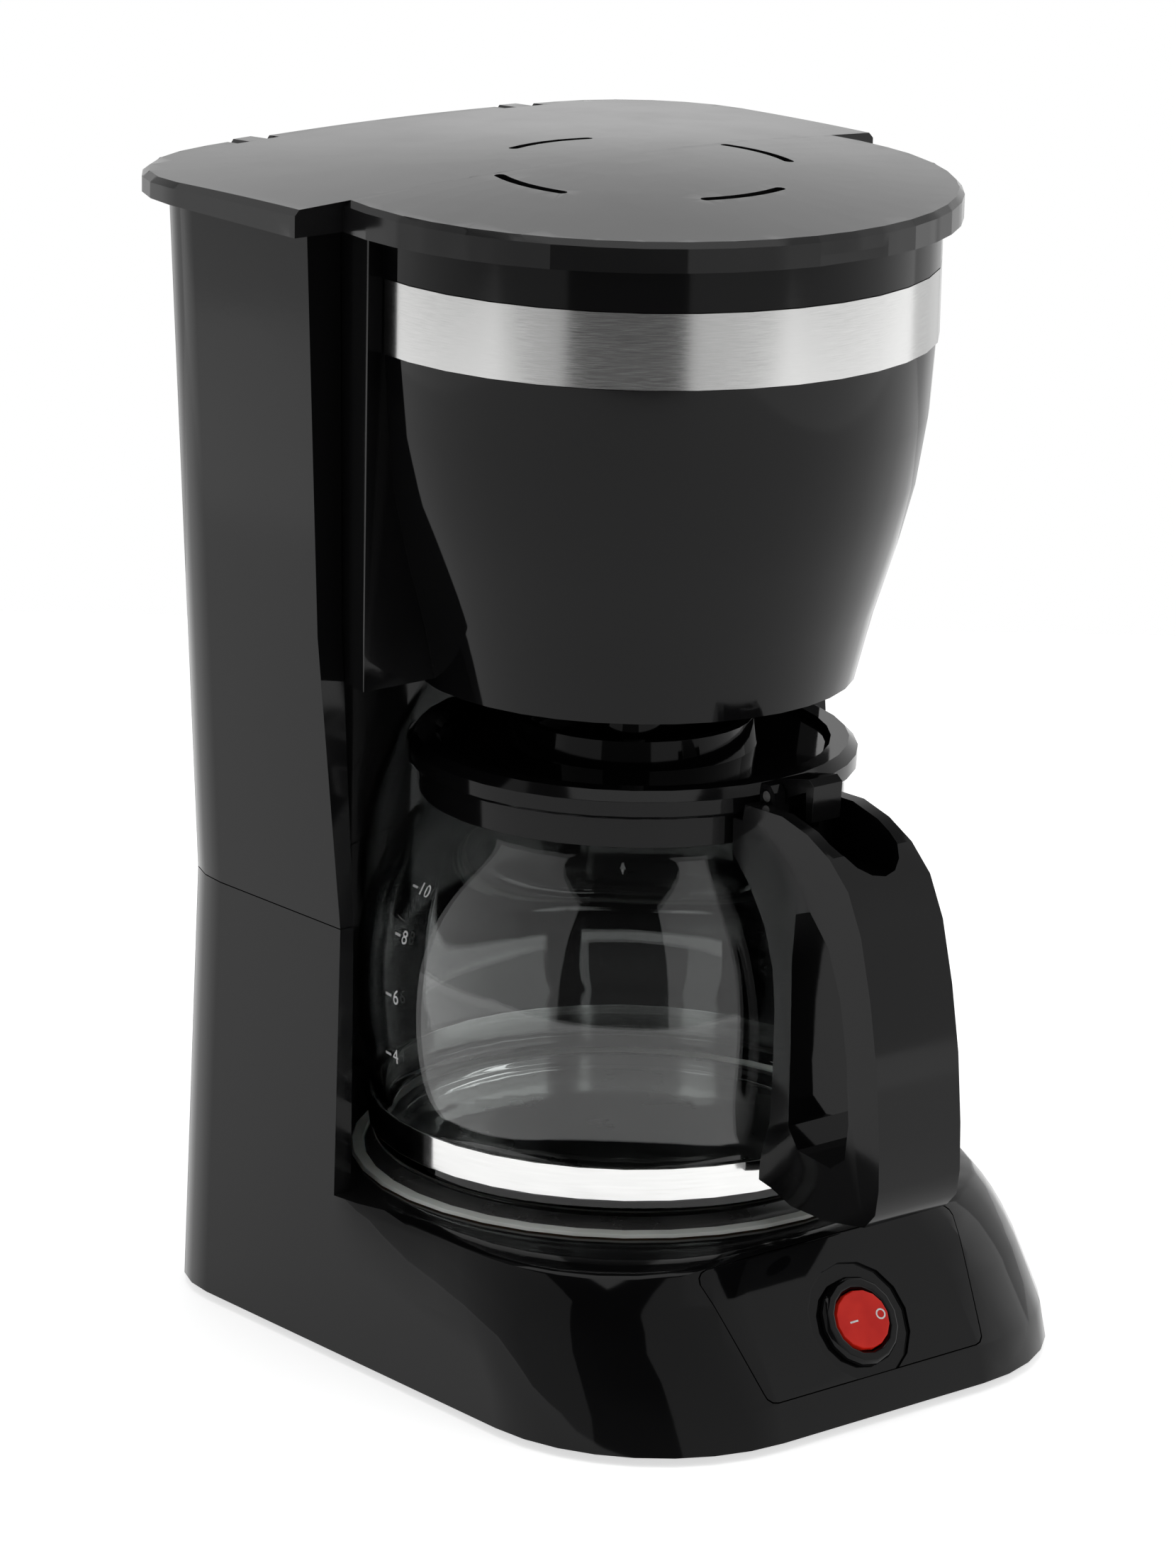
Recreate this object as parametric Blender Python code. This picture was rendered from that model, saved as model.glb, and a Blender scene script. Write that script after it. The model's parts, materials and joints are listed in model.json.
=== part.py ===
"""Drip coffee maker: a housing with a warming plate, a water tank column, a brew head with its filter
basket, a hinged lid and a glass carafe. Metres, +Z up, front towards -Y. The origin is on the brewing
axis (the common axis of plate, carafe and brew head) at the level that the feet stand on."""

import math

import bmesh
import bpy
from mathutils import Matrix, Vector

# ---------------------------------------------------------------- driving dimensions
GAP = 0.0003                 # clearance between touching pieces
WALL = 0.0025                # wall of the moulded housings
FOOT_HEIGHT = 0.0047         # rubber feet, up to the bottom cover
SKIRT_Z = 0.0025             # lower edge of the base skirt
DECK_Z = 0.047               # top of the base around the warming plate
SEAM_Z = 0.122               # seam between the base housing and the tank housing
RIM_Z = 0.3134               # top rim of tank and brew head, under the lid

BASE_HALF_W = 0.090          # half width at the skirt
SEAM_HALF_W = 0.088          # half width at the seam
TOP_HALF_W = 0.091           # half width of the tank at its rim
BASE_REAR = 0.104            # rear wall at the skirt, behind the brewing axis
SEAM_REAR = 0.101
TOP_REAR = 0.1115
REAR_CORNER = 0.032          # plan radius of the rear corners
BASE_FRONT = 0.110           # front of the skirt, ahead of the brewing axis
FRONT_CORNER = 0.054         # plan radius of the front corners
DECK_ROUND = 0.0105          # how far the deck's side edge is rounded in
COLUMN_FRONT = 0.0155        # front edge of the column's cheeks at the base
CHEEK_FRONT_MID = 0.025      # the same at CHEEK_MID_Z, above the step in the cheek
CHEEK_FRONT_TOP = 0.029      # the same at the rim
CHEEK_MID_Z = 0.201
RECESS_R = 0.085             # concave recess of the column around the brewing axis

PANEL_LOW = (0.1075, 0.012)  # slanted front: distance ahead of the axis and height, low and high
PANEL_HIGH = (0.0855, 0.045)
PANEL_HALF_LOW = 0.0392
PANEL_HALF_HIGH = 0.0456
PANEL_MARGIN = 0.0035        # panel's corner radius

PLATE_R = 0.0715             # warming plate
PLATE_TOP = 0.049
PLATE_THICK = 0.0012
SEAL_WALL = 0.0022
ELEMENT_R = 0.045            # heating element, middle of the horseshoe
ELEMENT_W = 0.016
ELEMENT_H = 0.0145
ELEMENT_OPENING = math.radians(25)
TUBE_R = 0.0033              # water tubes
TUBE_BORE = 0.0022
HOSE_FIT = 0.0008            # radial clearance of a hose over its tube
HOSE_WALL = 0.0010
RISER_Y = 0.093
OUTLET_X = -0.045            # tank outlet
OUTLET_Y = 0.087

SWITCH_R = 0.010             # panel hole of the round rocker switch
BEZEL_R = 0.0125
SWITCH_DOWN = 0.6            # its place down the panel, as a share of the panel's slope
ROCKER_TILT = math.radians(7)

HEAD_FLOOR_Z = 0.185         # lower edge of the brew head
BAND_LOW_Z = RIM_Z - 0.0344  # steel band around the brew head
BAND_HIGH_Z = RIM_Z - 0.0144
BAND_THICK = 0.0006
HEAD_R = 0.0797              # brew head at the band
HEAD_HOLE_R = 0.022          # hole in its floor for the basket's nozzle
LEDGE_Z = RIM_Z - 0.0174     # ledge that the filter basket hangs on
BASKET_WALL = 0.0018
BASKET_FLOOR_Z = 0.205
BASKET_FLOOR_R = 0.038
NOZZLE_R = 0.009
NOZZLE_BORE = 0.005
VALVE_STEM_R = 0.0035
VALVE_HEAD_R = 0.0075
VALVE_TRAVEL = 0.003
SPRING_WIRE = 0.0005
SPRING_TURNS = 4
SPRING_TOP = 0.220

LID_HALF_W = 0.101           # wide rear part of the lid
LID_REAR = 0.114
LID_REAR_CORNER = 0.038
LID_STEP_Y = 0.021           # where the wide part steps in to the round front
LID_FRONT_R = 0.087
LID_FRONT_Y = 0.003          # centre of the round front, behind the axis
LID_SKIRT_Z = RIM_Z - 0.0029
LID_EDGE_Z = RIM_Z + 0.0041
LID_CROWN = 0.0055           # height of the dome above the edge
LID_DOME_Y = 0.012           # the dome's middle, behind the axis
LID_DOME_R = 0.106           # where the dome comes down to the edge's level
LID_RECESS_HALF_W = 0.020    # finger recess in the front of the lid's skirt
LID_RECESS_DEPTH = 0.0008
LID_RECESS_H = 0.0028
LID_WALL = 0.0022
SLOT_R = 0.0415              # steam slots
SLOT_W = 0.003
SLOT_HALF_ANGLE = math.radians(18)
HINGE_Y = 0.117
HINGE_X = 0.047
HINGE_PIN_R = 0.0016
KNUCKLE_R = 0.003
KNUCKLE_W = 0.006
EAR_W = 0.0032
PIN_FIT = 0.0003             # radial clearance of the hinge pins

CARAFE_R = 0.0755            # glass
GLASS_WALL = 0.0022
GLASS_FLOOR_Z = PLATE_TOP + GAP
GLASS_NECK_R = 0.0525
GLASS_RIM_Z = 0.158
STRAP_R = 0.070
STRAP_THICK = 0.0008
STRAP_LOW_Z = 0.056
STRAP_HIGH_Z = 0.065
COLLAR_LOW_Z = 0.1505
CARAFE_LID_R = 0.0615
CARAFE_LID_Z = 0.159
CARAFE_LID_H = 0.0075
BOSS_TOP_Z = 0.179
BOSS_R = 0.010
FUNNEL_R = 0.0045
HANDLE_HALF_W = 0.0145
LID_PIN_Y = -0.066
LID_PIN_Z = 0.165
LID_PIN_R = 0.0015

ROUND = 36                   # sides of the large turned pieces
ROUND_MID = 16
ROUND_SMALL = 8


# ---------------------------------------------------------------- materials
def material(name, color, roughness, metallic=0.0, alpha=1.0):
    found = bpy.data.materials.get(name)
    if found:
        return found
    made = bpy.data.materials.new(name)
    made.use_nodes = True
    shader = made.node_tree.nodes["Principled BSDF"]
    shader.inputs["Base Color"].default_value = (*color, 1.0)
    shader.inputs["Roughness"].default_value = roughness
    shader.inputs["Metallic"].default_value = metallic
    shader.inputs["Alpha"].default_value = alpha
    return made


def gloss_black():
    return material("gloss_black", (0.012, 0.012, 0.013), 0.12)


def satin_black():
    return material("satin_black", (0.018, 0.018, 0.019), 0.38)


def rubber():
    return material("dark_rubber", (0.02, 0.02, 0.02), 0.8)


def silicone():
    return material("pale_silicone", (0.62, 0.6, 0.56), 0.55)


def steel():
    return material("brushed_steel", (0.56, 0.56, 0.55), 0.32, 1.0)


def bright_steel():
    return material("polished_steel", (0.72, 0.72, 0.71), 0.12, 1.0)


def aluminium():
    return material("cast_aluminium", (0.6, 0.6, 0.6), 0.5, 1.0)


def dark_coating():
    return material("plate_coating", (0.03, 0.03, 0.03), 0.35)


def glass():
    return material("clear_glass", (0.95, 0.97, 0.97), 0.03, 0.0, 0.3)


def red_lens():
    return material("red_lens", (0.7, 0.02, 0.015), 0.2)


# ---------------------------------------------------------------- modelling helpers
def finish_mesh(bm, name, surface, angle=math.radians(32)):
    bmesh.ops.remove_doubles(bm, verts=bm.verts, dist=1e-6)
    bmesh.ops.recalc_face_normals(bm, faces=bm.faces)
    mesh = bpy.data.meshes.new(name)
    bm.to_mesh(mesh)
    bm.free()
    mesh.shade_smooth()
    mesh.set_sharp_from_angle(angle=angle)
    thing = bpy.data.objects.new(name, mesh)
    thing.data.materials.append(surface or satin_black())
    bpy.context.scene.collection.objects.link(thing)
    return thing


def loft(name, rings, surface=None):
    """A closed solid through rings of equally many points, with flat ends."""
    bm = bmesh.new()
    loops = [[bm.verts.new(point) for point in ring] for ring in rings]
    count = len(loops[0])
    for low, high in zip(loops, loops[1:]):
        for i in range(count):
            j = (i + 1) % count
            bm.faces.new((low[i], low[j], high[j], high[i]))
    bm.faces.new(loops[0][::-1])
    bm.faces.new(loops[-1])
    return finish_mesh(bm, name, surface)


def lathe(name, profile, surface=None, segments=ROUND, place=None):
    """A closed outline of (radius, height) points turned about Z; points on the axis become poles."""
    bm = bmesh.new()
    rows = []
    for radius, height in profile:
        if radius < 1e-7:
            rows.append([bm.verts.new((0, 0, height))] * segments)
            continue
        angles = [2 * math.pi * k / segments for k in range(segments)]
        rows.append([bm.verts.new((radius * math.cos(a), radius * math.sin(a), height)) for a in angles])
    for row, after in zip(rows, rows[1:] + rows[:1]):
        for k in range(segments):
            n = (k + 1) % segments
            corners = []
            for vert in (row[k], row[n], after[n], after[k]):
                if vert not in corners:
                    corners.append(vert)
            if len(corners) > 2:
                bm.faces.new(corners)
    if place is not None:
        bmesh.ops.transform(bm, matrix=place, verts=bm.verts)
    return finish_mesh(bm, name, surface)


def rod(name, radius, start, end, surface=None, segments=12):
    """A solid cylinder from start to end."""
    start, end = Vector(start), Vector(end)
    length = (end - start).length
    turn = (end - start).to_track_quat("Z", "Y").to_matrix().to_4x4()
    place = Matrix.Translation(start) @ turn
    return lathe(name, [(0, 0), (radius, 0), (radius, length), (0, length)], surface, segments, place)


def box(name, low, high, surface=None, bevel=0.0):
    bm = bmesh.new()
    bmesh.ops.create_cube(bm, size=1.0)
    for vert in bm.verts:
        for axis in range(3):
            vert.co[axis] = high[axis] if vert.co[axis] > 0 else low[axis]
    if bevel:
        bmesh.ops.bevel(bm, geom=bm.edges[:], offset=bevel, segments=2, affect="EDGES", profile=0.5)
    return finish_mesh(bm, name, surface)


def prism(name, outline, low, high, axis="X", surface=None):
    """An outline extruded along X, Y or Z; for X its points are (y, z), for Y (x, z), for Z (x, y)."""
    place = {
        "X": lambda a, b, h: (h, a, b),
        "Y": lambda a, b, h: (a, h, b),
        "Z": lambda a, b, h: (a, b, h),
    }[axis]
    rings = [[place(a, b, h) for a, b in outline] for h in (low, high)]
    return loft(name, rings, surface)


def boolean(part, tool, operation="DIFFERENCE"):
    """Apply a Boolean with the exact solver and remove the tool."""
    modifier = part.modifiers.new("shape", "BOOLEAN")
    modifier.operation = operation
    modifier.solver = "EXACT"
    modifier.object = tool
    result = bpy.data.meshes.new_from_object(part.evaluated_get(bpy.context.evaluated_depsgraph_get()))
    part.modifiers.clear()
    part.data = result
    bpy.data.objects.remove(tool)
    part.data.shade_smooth()
    part.data.set_sharp_from_angle(angle=math.radians(32))
    return part


def move_origin(part, point):
    """Put the part's origin on a joint's axis without moving its shape."""
    part.data.transform(Matrix.Translation(-Vector(point)))
    part.location = point


def sweep(name, points, outer, bore=0.0, surface=None, sides=8):
    """A tube along a smooth curve through the points; with a bore it is open at both ends."""
    path = smooth_path([Vector(p) for p in points])
    rings = {radius: [] for radius in (outer, bore) if radius}
    side = Vector((1, 0, 0))
    for i, here in enumerate(path):
        along = (path[min(i + 1, len(path) - 1)] - path[max(i - 1, 0)]).normalized()
        side = (side - along * side.dot(along)).normalized()
        up = along.cross(side)
        for radius, rows in rings.items():
            angles = [2 * math.pi * k / sides for k in range(sides)]
            rows.append([here + radius * (math.cos(a) * side + math.sin(a) * up) for a in angles])
    if not bore:
        return loft(name, rings[outer], surface)
    loop = rings[outer] + rings[bore][::-1]
    bm = bmesh.new()
    rows = [[bm.verts.new(p) for p in ring] for ring in loop]
    for row, after in zip(rows, rows[1:] + rows[:1]):
        for k in range(sides):
            n = (k + 1) % sides
            bm.faces.new((row[k], row[n], after[n], after[k]))
    return finish_mesh(bm, name, surface)


def smooth_path(points, steps=3):
    """Catmull-Rom curve through the points."""
    padded = [2 * points[0] - points[1]] + points + [2 * points[-1] - points[-2]]
    path = []
    for i in range(1, len(padded) - 2):
        a, b, c, d = padded[i - 1:i + 3]
        for k in range(steps):
            t = k / steps
            path.append(0.5 * (2 * b + (c - a) * t + (2 * a - 5 * b + 4 * c - d) * t ** 2
                               + (3 * b - a - 3 * c + d) * t ** 3))
    return path + [points[-1]]


def arc(center, radius, start, end, steps):
    """Points on an arc, angles in degrees."""
    angles = [math.radians(start + (end - start) * k / steps) for k in range(steps + 1)]
    return [(center[0] + radius * math.cos(a), center[1] + radius * math.sin(a)) for a in angles]


def between(z, low, high):
    """Straight line between two (z, value) points."""
    share = (z - low[0]) / (high[0] - low[0])
    return low[1] + (high[1] - low[1]) * share


# ---------------------------------------------------------------- housing outlines
def body_half_width(z):
    if z < SEAM_Z:
        return between(z, (SKIRT_Z, BASE_HALF_W), (SEAM_Z, SEAM_HALF_W))
    return between(z, (SEAM_Z, SEAM_HALF_W), (RIM_Z, TOP_HALF_W))


def body_rear(z):
    if z < SEAM_Z:
        return between(z, (SKIRT_Z, BASE_REAR), (SEAM_Z, SEAM_REAR))
    return between(z, (SEAM_Z, SEAM_REAR), (RIM_Z, TOP_REAR))


def cheek_front(z):
    """Front edge of the column's cheeks."""
    if z < SEAM_Z:
        return COLUMN_FRONT
    if z < CHEEK_MID_Z:
        return between(z, (SEAM_Z, COLUMN_FRONT), (CHEEK_MID_Z, CHEEK_FRONT_MID))
    return between(z, (CHEEK_MID_Z, CHEEK_FRONT_MID), (RIM_Z, CHEEK_FRONT_TOP))


def base_front(z):
    """Distance of the slanted front ahead of the axis."""
    if z < PANEL_LOW[1]:
        return between(z, (SKIRT_Z, BASE_FRONT), (PANEL_LOW[1], PANEL_LOW[0]))
    if z < PANEL_HIGH[1]:
        return between(z, (PANEL_LOW[1], PANEL_LOW[0]), (PANEL_HIGH[1], PANEL_HIGH[0]))
    return between(z, (PANEL_HIGH[1], PANEL_HIGH[0]), (DECK_Z, PANEL_HIGH[0] - 0.0035))


def rounded_in(z):
    """How far the deck's side edge comes in at height z: a quarter round below the deck."""
    start = DECK_Z - 2 * DECK_ROUND
    if z <= start:
        return 0.0
    share = min(1.0, (z - start) / (DECK_Z - start))
    return DECK_ROUND * (1 - math.sqrt(max(0.0, 1 - share ** 2)) * 0.9 - 0.1 * (1 - share))


SIDE_STEPS = 5
FRONT_STEPS = 9


def half_outline(z, inset, full):
    """Right half of the housing's outline at height z, from the rear middle to the front middle.
    The full outline takes in the whole base; the other one ends at the front edge of the column."""
    width = body_half_width(z) - inset
    rear = body_rear(z) - inset
    corner = REAR_CORNER - inset
    points = [(0.0, rear)] + arc((width - corner, rear - corner), corner, 90, 0, 6)
    if not full:
        cheek = cheek_front(z) + inset
        steps = SIDE_STEPS + FRONT_STEPS
        return points + [(width * (1 - k / steps), cheek) for k in range(steps + 1)]
    front = base_front(z) - inset
    front_corner = FRONT_CORNER - inset
    shoulder = front_corner - front
    narrow = width - rounded_in(z + inset)
    for k in range(SIDE_STEPS):
        share = k / SIDE_STEPS
        smooth = share * share * (3 - 2 * share)
        y = COLUMN_FRONT + inset + (shoulder - COLUMN_FRONT - inset) * share
        points.append((width + (narrow - width) * smooth, y))
    points += arc((narrow - front_corner, shoulder), front_corner, 0, -90, FRONT_STEPS - 1)
    return points + [(0.0, -front)]


def ring_at(z, inset=0.0, full=True, height=None):
    right = half_outline(z, inset, full)
    left = [(-x, y) for x, y in right[::-1] if x > 1e-9]
    level = z if height is None else height
    return [(x, y, level) for x, y in right + left]


def panel_point(share_down, out=0.0):
    """A point of the slanted front on the middle plane, share_down of the way down the slope."""
    y = -PANEL_HIGH[0] - (PANEL_LOW[0] - PANEL_HIGH[0]) * share_down
    z = PANEL_HIGH[1] - (PANEL_HIGH[1] - PANEL_LOW[1]) * share_down
    normal = panel_normal()
    return Vector((0, y, z)) + normal * out


def panel_normal():
    rise = PANEL_HIGH[1] - PANEL_LOW[1]
    run = PANEL_LOW[0] - PANEL_HIGH[0]
    return Vector((0, -rise, run)).normalized()


def panel_frame(share_down):
    """Local frame on the panel: X to the right, Y up the slope, Z outwards."""
    normal = panel_normal()
    across = Vector((1, 0, 0))
    up = normal.cross(across)
    turn = Matrix((across, up, normal)).transposed().to_4x4()
    return Matrix.Translation(panel_point(share_down)) @ turn


# ---------------------------------------------------------------- base
def base_levels(inset):
    levels = [SKIRT_Z, PANEL_LOW[1], 0.020, 0.0275, 0.033, 0.0375, 0.041, 0.0438, PANEL_HIGH[1]]
    top = DECK_Z - inset
    return [z for z in levels if z < top - 0.0008] + [top]


def base_solid(name, inset, surface=None):
    """The base with its part of the column as one solid, drawn in by inset."""
    levels = base_levels(inset)
    rings = [ring_at(z, inset) for z in levels]
    if inset:
        rings.insert(0, ring_at(SKIRT_Z, inset, True, SKIRT_Z - 0.01))
    deck = levels[-1]
    rings.append(ring_at(deck, inset, False))
    rings.append(ring_at((deck + SEAM_Z) / 2, inset, False))
    top = SEAM_Z + (0.01 if inset else 0.0)
    rings.append(ring_at(SEAM_Z, inset, False, top))
    return loft(name, rings, surface)


def recess(radius, low, high):
    return rod("recess", radius, (0, 0, low), (0, 0, high), segments=ROUND)


def panel_prism(shrink, inner=0.004, outer=0.006):
    """The panel's rounded trapezoid, standing through the slanted front."""
    slope = (Vector((PANEL_LOW)) - Vector((PANEL_HIGH))).length
    top, low = slope * 0.02, -slope * 0.98
    corners = []
    radius = PANEL_MARGIN
    half_top, half_low = PANEL_HALF_HIGH - shrink, PANEL_HALF_LOW - shrink
    top -= shrink
    low += shrink
    corners += arc((half_top - radius, top - radius), radius, 0, 90, 3)
    corners += arc((-half_top + radius, top - radius), radius, 90, 180, 3)
    corners += arc((-half_low + radius, low + radius), radius, 180, 270, 3)
    corners += arc((half_low - radius, low + radius), radius, 270, 360, 3)
    frame = panel_frame(0.0)
    rings = [[frame @ Vector((x, y, h)) for x, y in corners] for h in (-inner, outer)]
    return loft("panel_prism", rings)


POST_R = 0.0045
POST_BITE = 0.0008           # how far the rear screw posts run into the side wall


def screw_posts():
    side = SEAM_HALF_W - WALL - POST_R + POST_BITE + (BASE_HALF_W - SEAM_HALF_W) * 0.8
    front_x, front_y = BASE_HALF_W - 0.028, 0.052 - BASE_FRONT
    return [(front_x, front_y), (-front_x, front_y), (side, 0.058), (-side, 0.058)]


POST_BORE = 0.0017
COVER_TOP_Z = 0.0073
GROMMET_X = 0.052
GROMMET_Z = 0.020
GROMMET_BORE = 0.006


def make_base_housing():
    base = base_solid("base_housing", 0.0, gloss_black())
    boolean(base, recess(RECESS_R, DECK_Z + 0.00005, SEAM_Z + 0.02))
    cavity = base_solid("cavity", WALL)
    boolean(cavity, recess(RECESS_R + WALL, DECK_Z - WALL - 0.0001, SEAM_Z + 0.03))
    for x, y in screw_posts():
        boolean(cavity, rod("post", POST_R, (x, y, COVER_TOP_Z + GAP), (x, y, DECK_Z + 0.02)))
    boolean(base, cavity)
    hole_r = PLATE_R + GAP + SEAL_WALL + GAP
    boolean(base, rod("plate_hole", hole_r, (0, 0, DECK_Z - 0.01), (0, 0, DECK_Z + 0.01), segments=ROUND))
    boolean(base, panel_prism(0.0))
    for x, y in screw_posts():
        boolean(base, rod("post_bore", POST_BORE, (x, y, 0), (x, y, 0.022), segments=12))
    rear = BASE_REAR
    inlet_in = (GROMMET_X, rear - 0.01, GROMMET_Z)
    inlet_out = (GROMMET_X, rear + 0.01, GROMMET_Z)
    boolean(base, rod("inlet", GROMMET_BORE + GAP, inlet_in, inlet_out))
    return base


def make_control_panel():
    panel = base_solid("control_panel", 0.0, gloss_black())
    boolean(panel, panel_prism(GAP), "INTERSECT")
    boolean(panel, base_solid("back", WALL))
    frame = panel_frame(SWITCH_DOWN)
    slope = [(0, -0.001), (0.0165, -0.001), (0.0175, 0.004), (0, 0.004)]
    dish = lathe("dish", slope, None, ROUND_MID, frame)
    boolean(panel, dish)
    bore = [(0, -0.01), (SWITCH_R, -0.01), (SWITCH_R, 0.01), (0, 0.01)]
    hole = lathe("hole", bore, None, ROUND_MID, frame)
    boolean(panel, hole)
    return panel


def make_switch():
    frame = panel_frame(SWITCH_DOWN)
    seat = -0.001 + GAP
    barrel = SWITCH_R - GAP
    bore = barrel - 0.0009
    housing = lathe("switch_housing", [
        (0, -0.016), (barrel, -0.016), (barrel, seat), (BEZEL_R, seat), (BEZEL_R, seat + 0.0012),
        (BEZEL_R - 0.001, seat + 0.0024), (bore + 0.0006, seat + 0.0024), (bore, seat + 0.0016),
        (bore, -0.012), (0, -0.012)], satin_black(), ROUND_MID, frame)
    top_r = bore - 0.0005
    rocker = lathe("switch_rocker", [
        (0, -0.005), (top_r * 0.72, -0.005), (top_r * 0.86, -0.003), (top_r, 0.0006),
        (top_r * 0.97, 0.0022), (0, 0.0022)], red_lens(), ROUND_MID)
    for side in (-1, 1):
        wedge = box("wedge", (-0.03, -0.03, 0.0), (0.03, 0.03, 0.01))
        wedge.data.transform(Matrix.Rotation(side * ROCKER_TILT, 4, "Y"))
        wedge.data.transform(Matrix.Translation((side * 0.012, 0, 0.0018)))
        boolean(rocker, wedge)
    rocker.data.transform(Matrix.Rotation(-ROCKER_TILT, 4, "Y"))
    rocker.data.transform(frame)
    move_origin(rocker, panel_point(SWITCH_DOWN))
    return housing, rocker


def make_bottom_cover():
    inset = WALL + GAP
    low = FOOT_HEIGHT + GAP
    rings = [ring_at(z, inset) for z in (low, COVER_TOP_Z)]
    cover = loft("bottom_cover", rings, satin_black())
    for x, y in screw_posts():
        boolean(cover, rod("hole", 0.0019, (x, y, 0), (x, y, 0.02), segments=12))
    for k in range(5):
        y = -0.030 + 0.015 * k
        boolean(cover, box("vent", (-0.022, y - 0.002, 0), (0.022, y + 0.002, 0.02)))
    return cover


def make_cover_screw(name, x, y):
    head = FOOT_HEIGHT
    return lathe(name, [
        (0, head - 0.0016), (0.0026, head - 0.0016), (0.0030, head - 0.0008), (0.0030, head),
        (0.00138, head), (0.00138, 0.018), (0.0006, 0.020), (0, 0.020)],
        steel(), ROUND_SMALL, Matrix.Translation((x, y, 0)))


def foot_places():
    x = BASE_HALF_W - 0.024
    front, rear = 0.038 - BASE_FRONT, BASE_REAR - 0.026
    return [(x, front), (-x, front), (x, rear), (-x, rear)]


def make_foot(name, x, y):
    return lathe(name, [
        (0, 0), (0.0075, 0), (0.0085, 0.001), (0.0080, FOOT_HEIGHT), (0, FOOT_HEIGHT)],
        rubber(), 16, Matrix.Translation((x, y, 0)))


def make_cord_grommet():
    rear = body_rear(GROMMET_Z)
    turn = Matrix.Rotation(math.radians(-90), 4, "X")
    place = Matrix.Translation((GROMMET_X, rear, GROMMET_Z)) @ turn
    return lathe("cord_grommet", [
        (0.0034, -0.006), (GROMMET_BORE, -0.006), (GROMMET_BORE, GAP), (0.0085, GAP),
        (0.0085, 0.0018), (0.0065, 0.0045), (0.0034, 0.0045)], rubber(), 16, place)


# ---------------------------------------------------------------- warming plate and heater
def make_plate():
    low = PLATE_TOP - PLATE_THICK
    plate = lathe("warming_plate", [
        (0, low), (PLATE_R - 0.003, low), (PLATE_R - 0.0012, low - 0.0022), (PLATE_R, low - 0.0022),
        (PLATE_R, low + 0.0003), (PLATE_R - 0.0018, PLATE_TOP), (0, PLATE_TOP)], dark_coating())
    inner = PLATE_R + GAP
    shelf = low - 0.0022 - GAP
    seal = lathe("plate_seal", [
        (inner - 0.004, shelf - 0.0015), (inner + SEAL_WALL, shelf - 0.0015),
        (inner + SEAL_WALL, DECK_Z + GAP),
        (inner + SEAL_WALL + 0.0018, DECK_Z + GAP), (inner + SEAL_WALL + 0.0012, DECK_Z + 0.0012),
        (inner + 0.0004, DECK_Z + 0.0014), (inner, DECK_Z + 0.0009), (inner, shelf), (inner - 0.004, shelf)],
        silicone())
    return plate, seal


ELEMENT_TOP = PLATE_TOP - PLATE_THICK - GAP
ELEMENT_LOW = ELEMENT_TOP - ELEMENT_H
STRIP_TOP = ELEMENT_LOW - GAP
STRIP_THICK = 0.0025
STUD_X = 0.060
TUBE_Z = ELEMENT_LOW + 0.0055
TUBE_END_Y = 0.056


def element_end(side):
    return (side * ELEMENT_R * math.sin(ELEMENT_OPENING), ELEMENT_R * math.cos(ELEMENT_OPENING))


def make_heating_element():
    start = math.pi / 2 + ELEMENT_OPENING
    turn = 2 * math.pi - 2 * ELEMENT_OPENING
    half = ELEMENT_W / 2
    section = [(-half, 0.003), (-half + 0.004, 0.0), (half - 0.004, 0.0), (half, 0.003),
               (half, ELEMENT_H - 0.003), (half - 0.002, ELEMENT_H), (-half + 0.002, ELEMENT_H),
               (-half, ELEMENT_H - 0.003)]
    rings = []
    for k in range(21):
        a = start + turn * k / 20
        rings.append([((ELEMENT_R + r) * math.cos(a), (ELEMENT_R + r) * math.sin(a), ELEMENT_LOW + h)
                      for r, h in section])
    element = loft("heating_element", rings, aluminium())
    for side in (-1, 1):
        x, y = element_end(side)
        end = TUBE_END_Y + 0.008
        boolean(element, rod("tube", TUBE_R, (x, y - 0.004, TUBE_Z), (x, end, TUBE_Z)), "UNION")
        bore_in, bore_out = (x, y - 0.002, TUBE_Z), (x, end + 0.012, TUBE_Z)
        boolean(element, rod("bore", TUBE_BORE, bore_in, bore_out, segments=12))
    return element


def make_element_clamp():
    reach = STUD_X + 0.007
    low = STRIP_TOP - STRIP_THICK
    clamp = box("element_clamp", (-reach, -0.008, low), (reach, 0.008, STRIP_TOP), steel())
    for side in (-1, 1):
        x = side * STUD_X
        boolean(clamp, rod("hole", 0.0024, (x, 0, 0), (x, 0, 0.06), segments=12))
    return clamp


def make_plate_stud(name, x):
    nut = STRIP_TOP - STRIP_THICK - GAP
    return lathe(name, [
        (0, nut - 0.005), (0.002, nut - 0.005), (0.002, nut - 0.003), (0.004, nut - 0.003), (0.004, nut),
        (0.002, nut), (0.002, ELEMENT_TOP), (0, ELEMENT_TOP)],
        steel(), ROUND_SMALL, Matrix.Translation((x, 0, 0)))


def make_thermostat():
    low = STRIP_TOP + GAP
    body = lathe("thermostat", [
        (0, low), (0.006, low), (0.006, low + 0.004), (0.009, low + 0.004), (0.009, ELEMENT_TOP - 0.001),
        (0.008, ELEMENT_TOP), (0, ELEMENT_TOP)], aluminium(), 16)
    return body


def make_thermal_fuse():
    z = STRIP_TOP + GAP + 0.0022
    return rod("thermal_fuse", 0.0022, (0.013, 0, z), (0.027, 0, z), satin_black(), 12)


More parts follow.
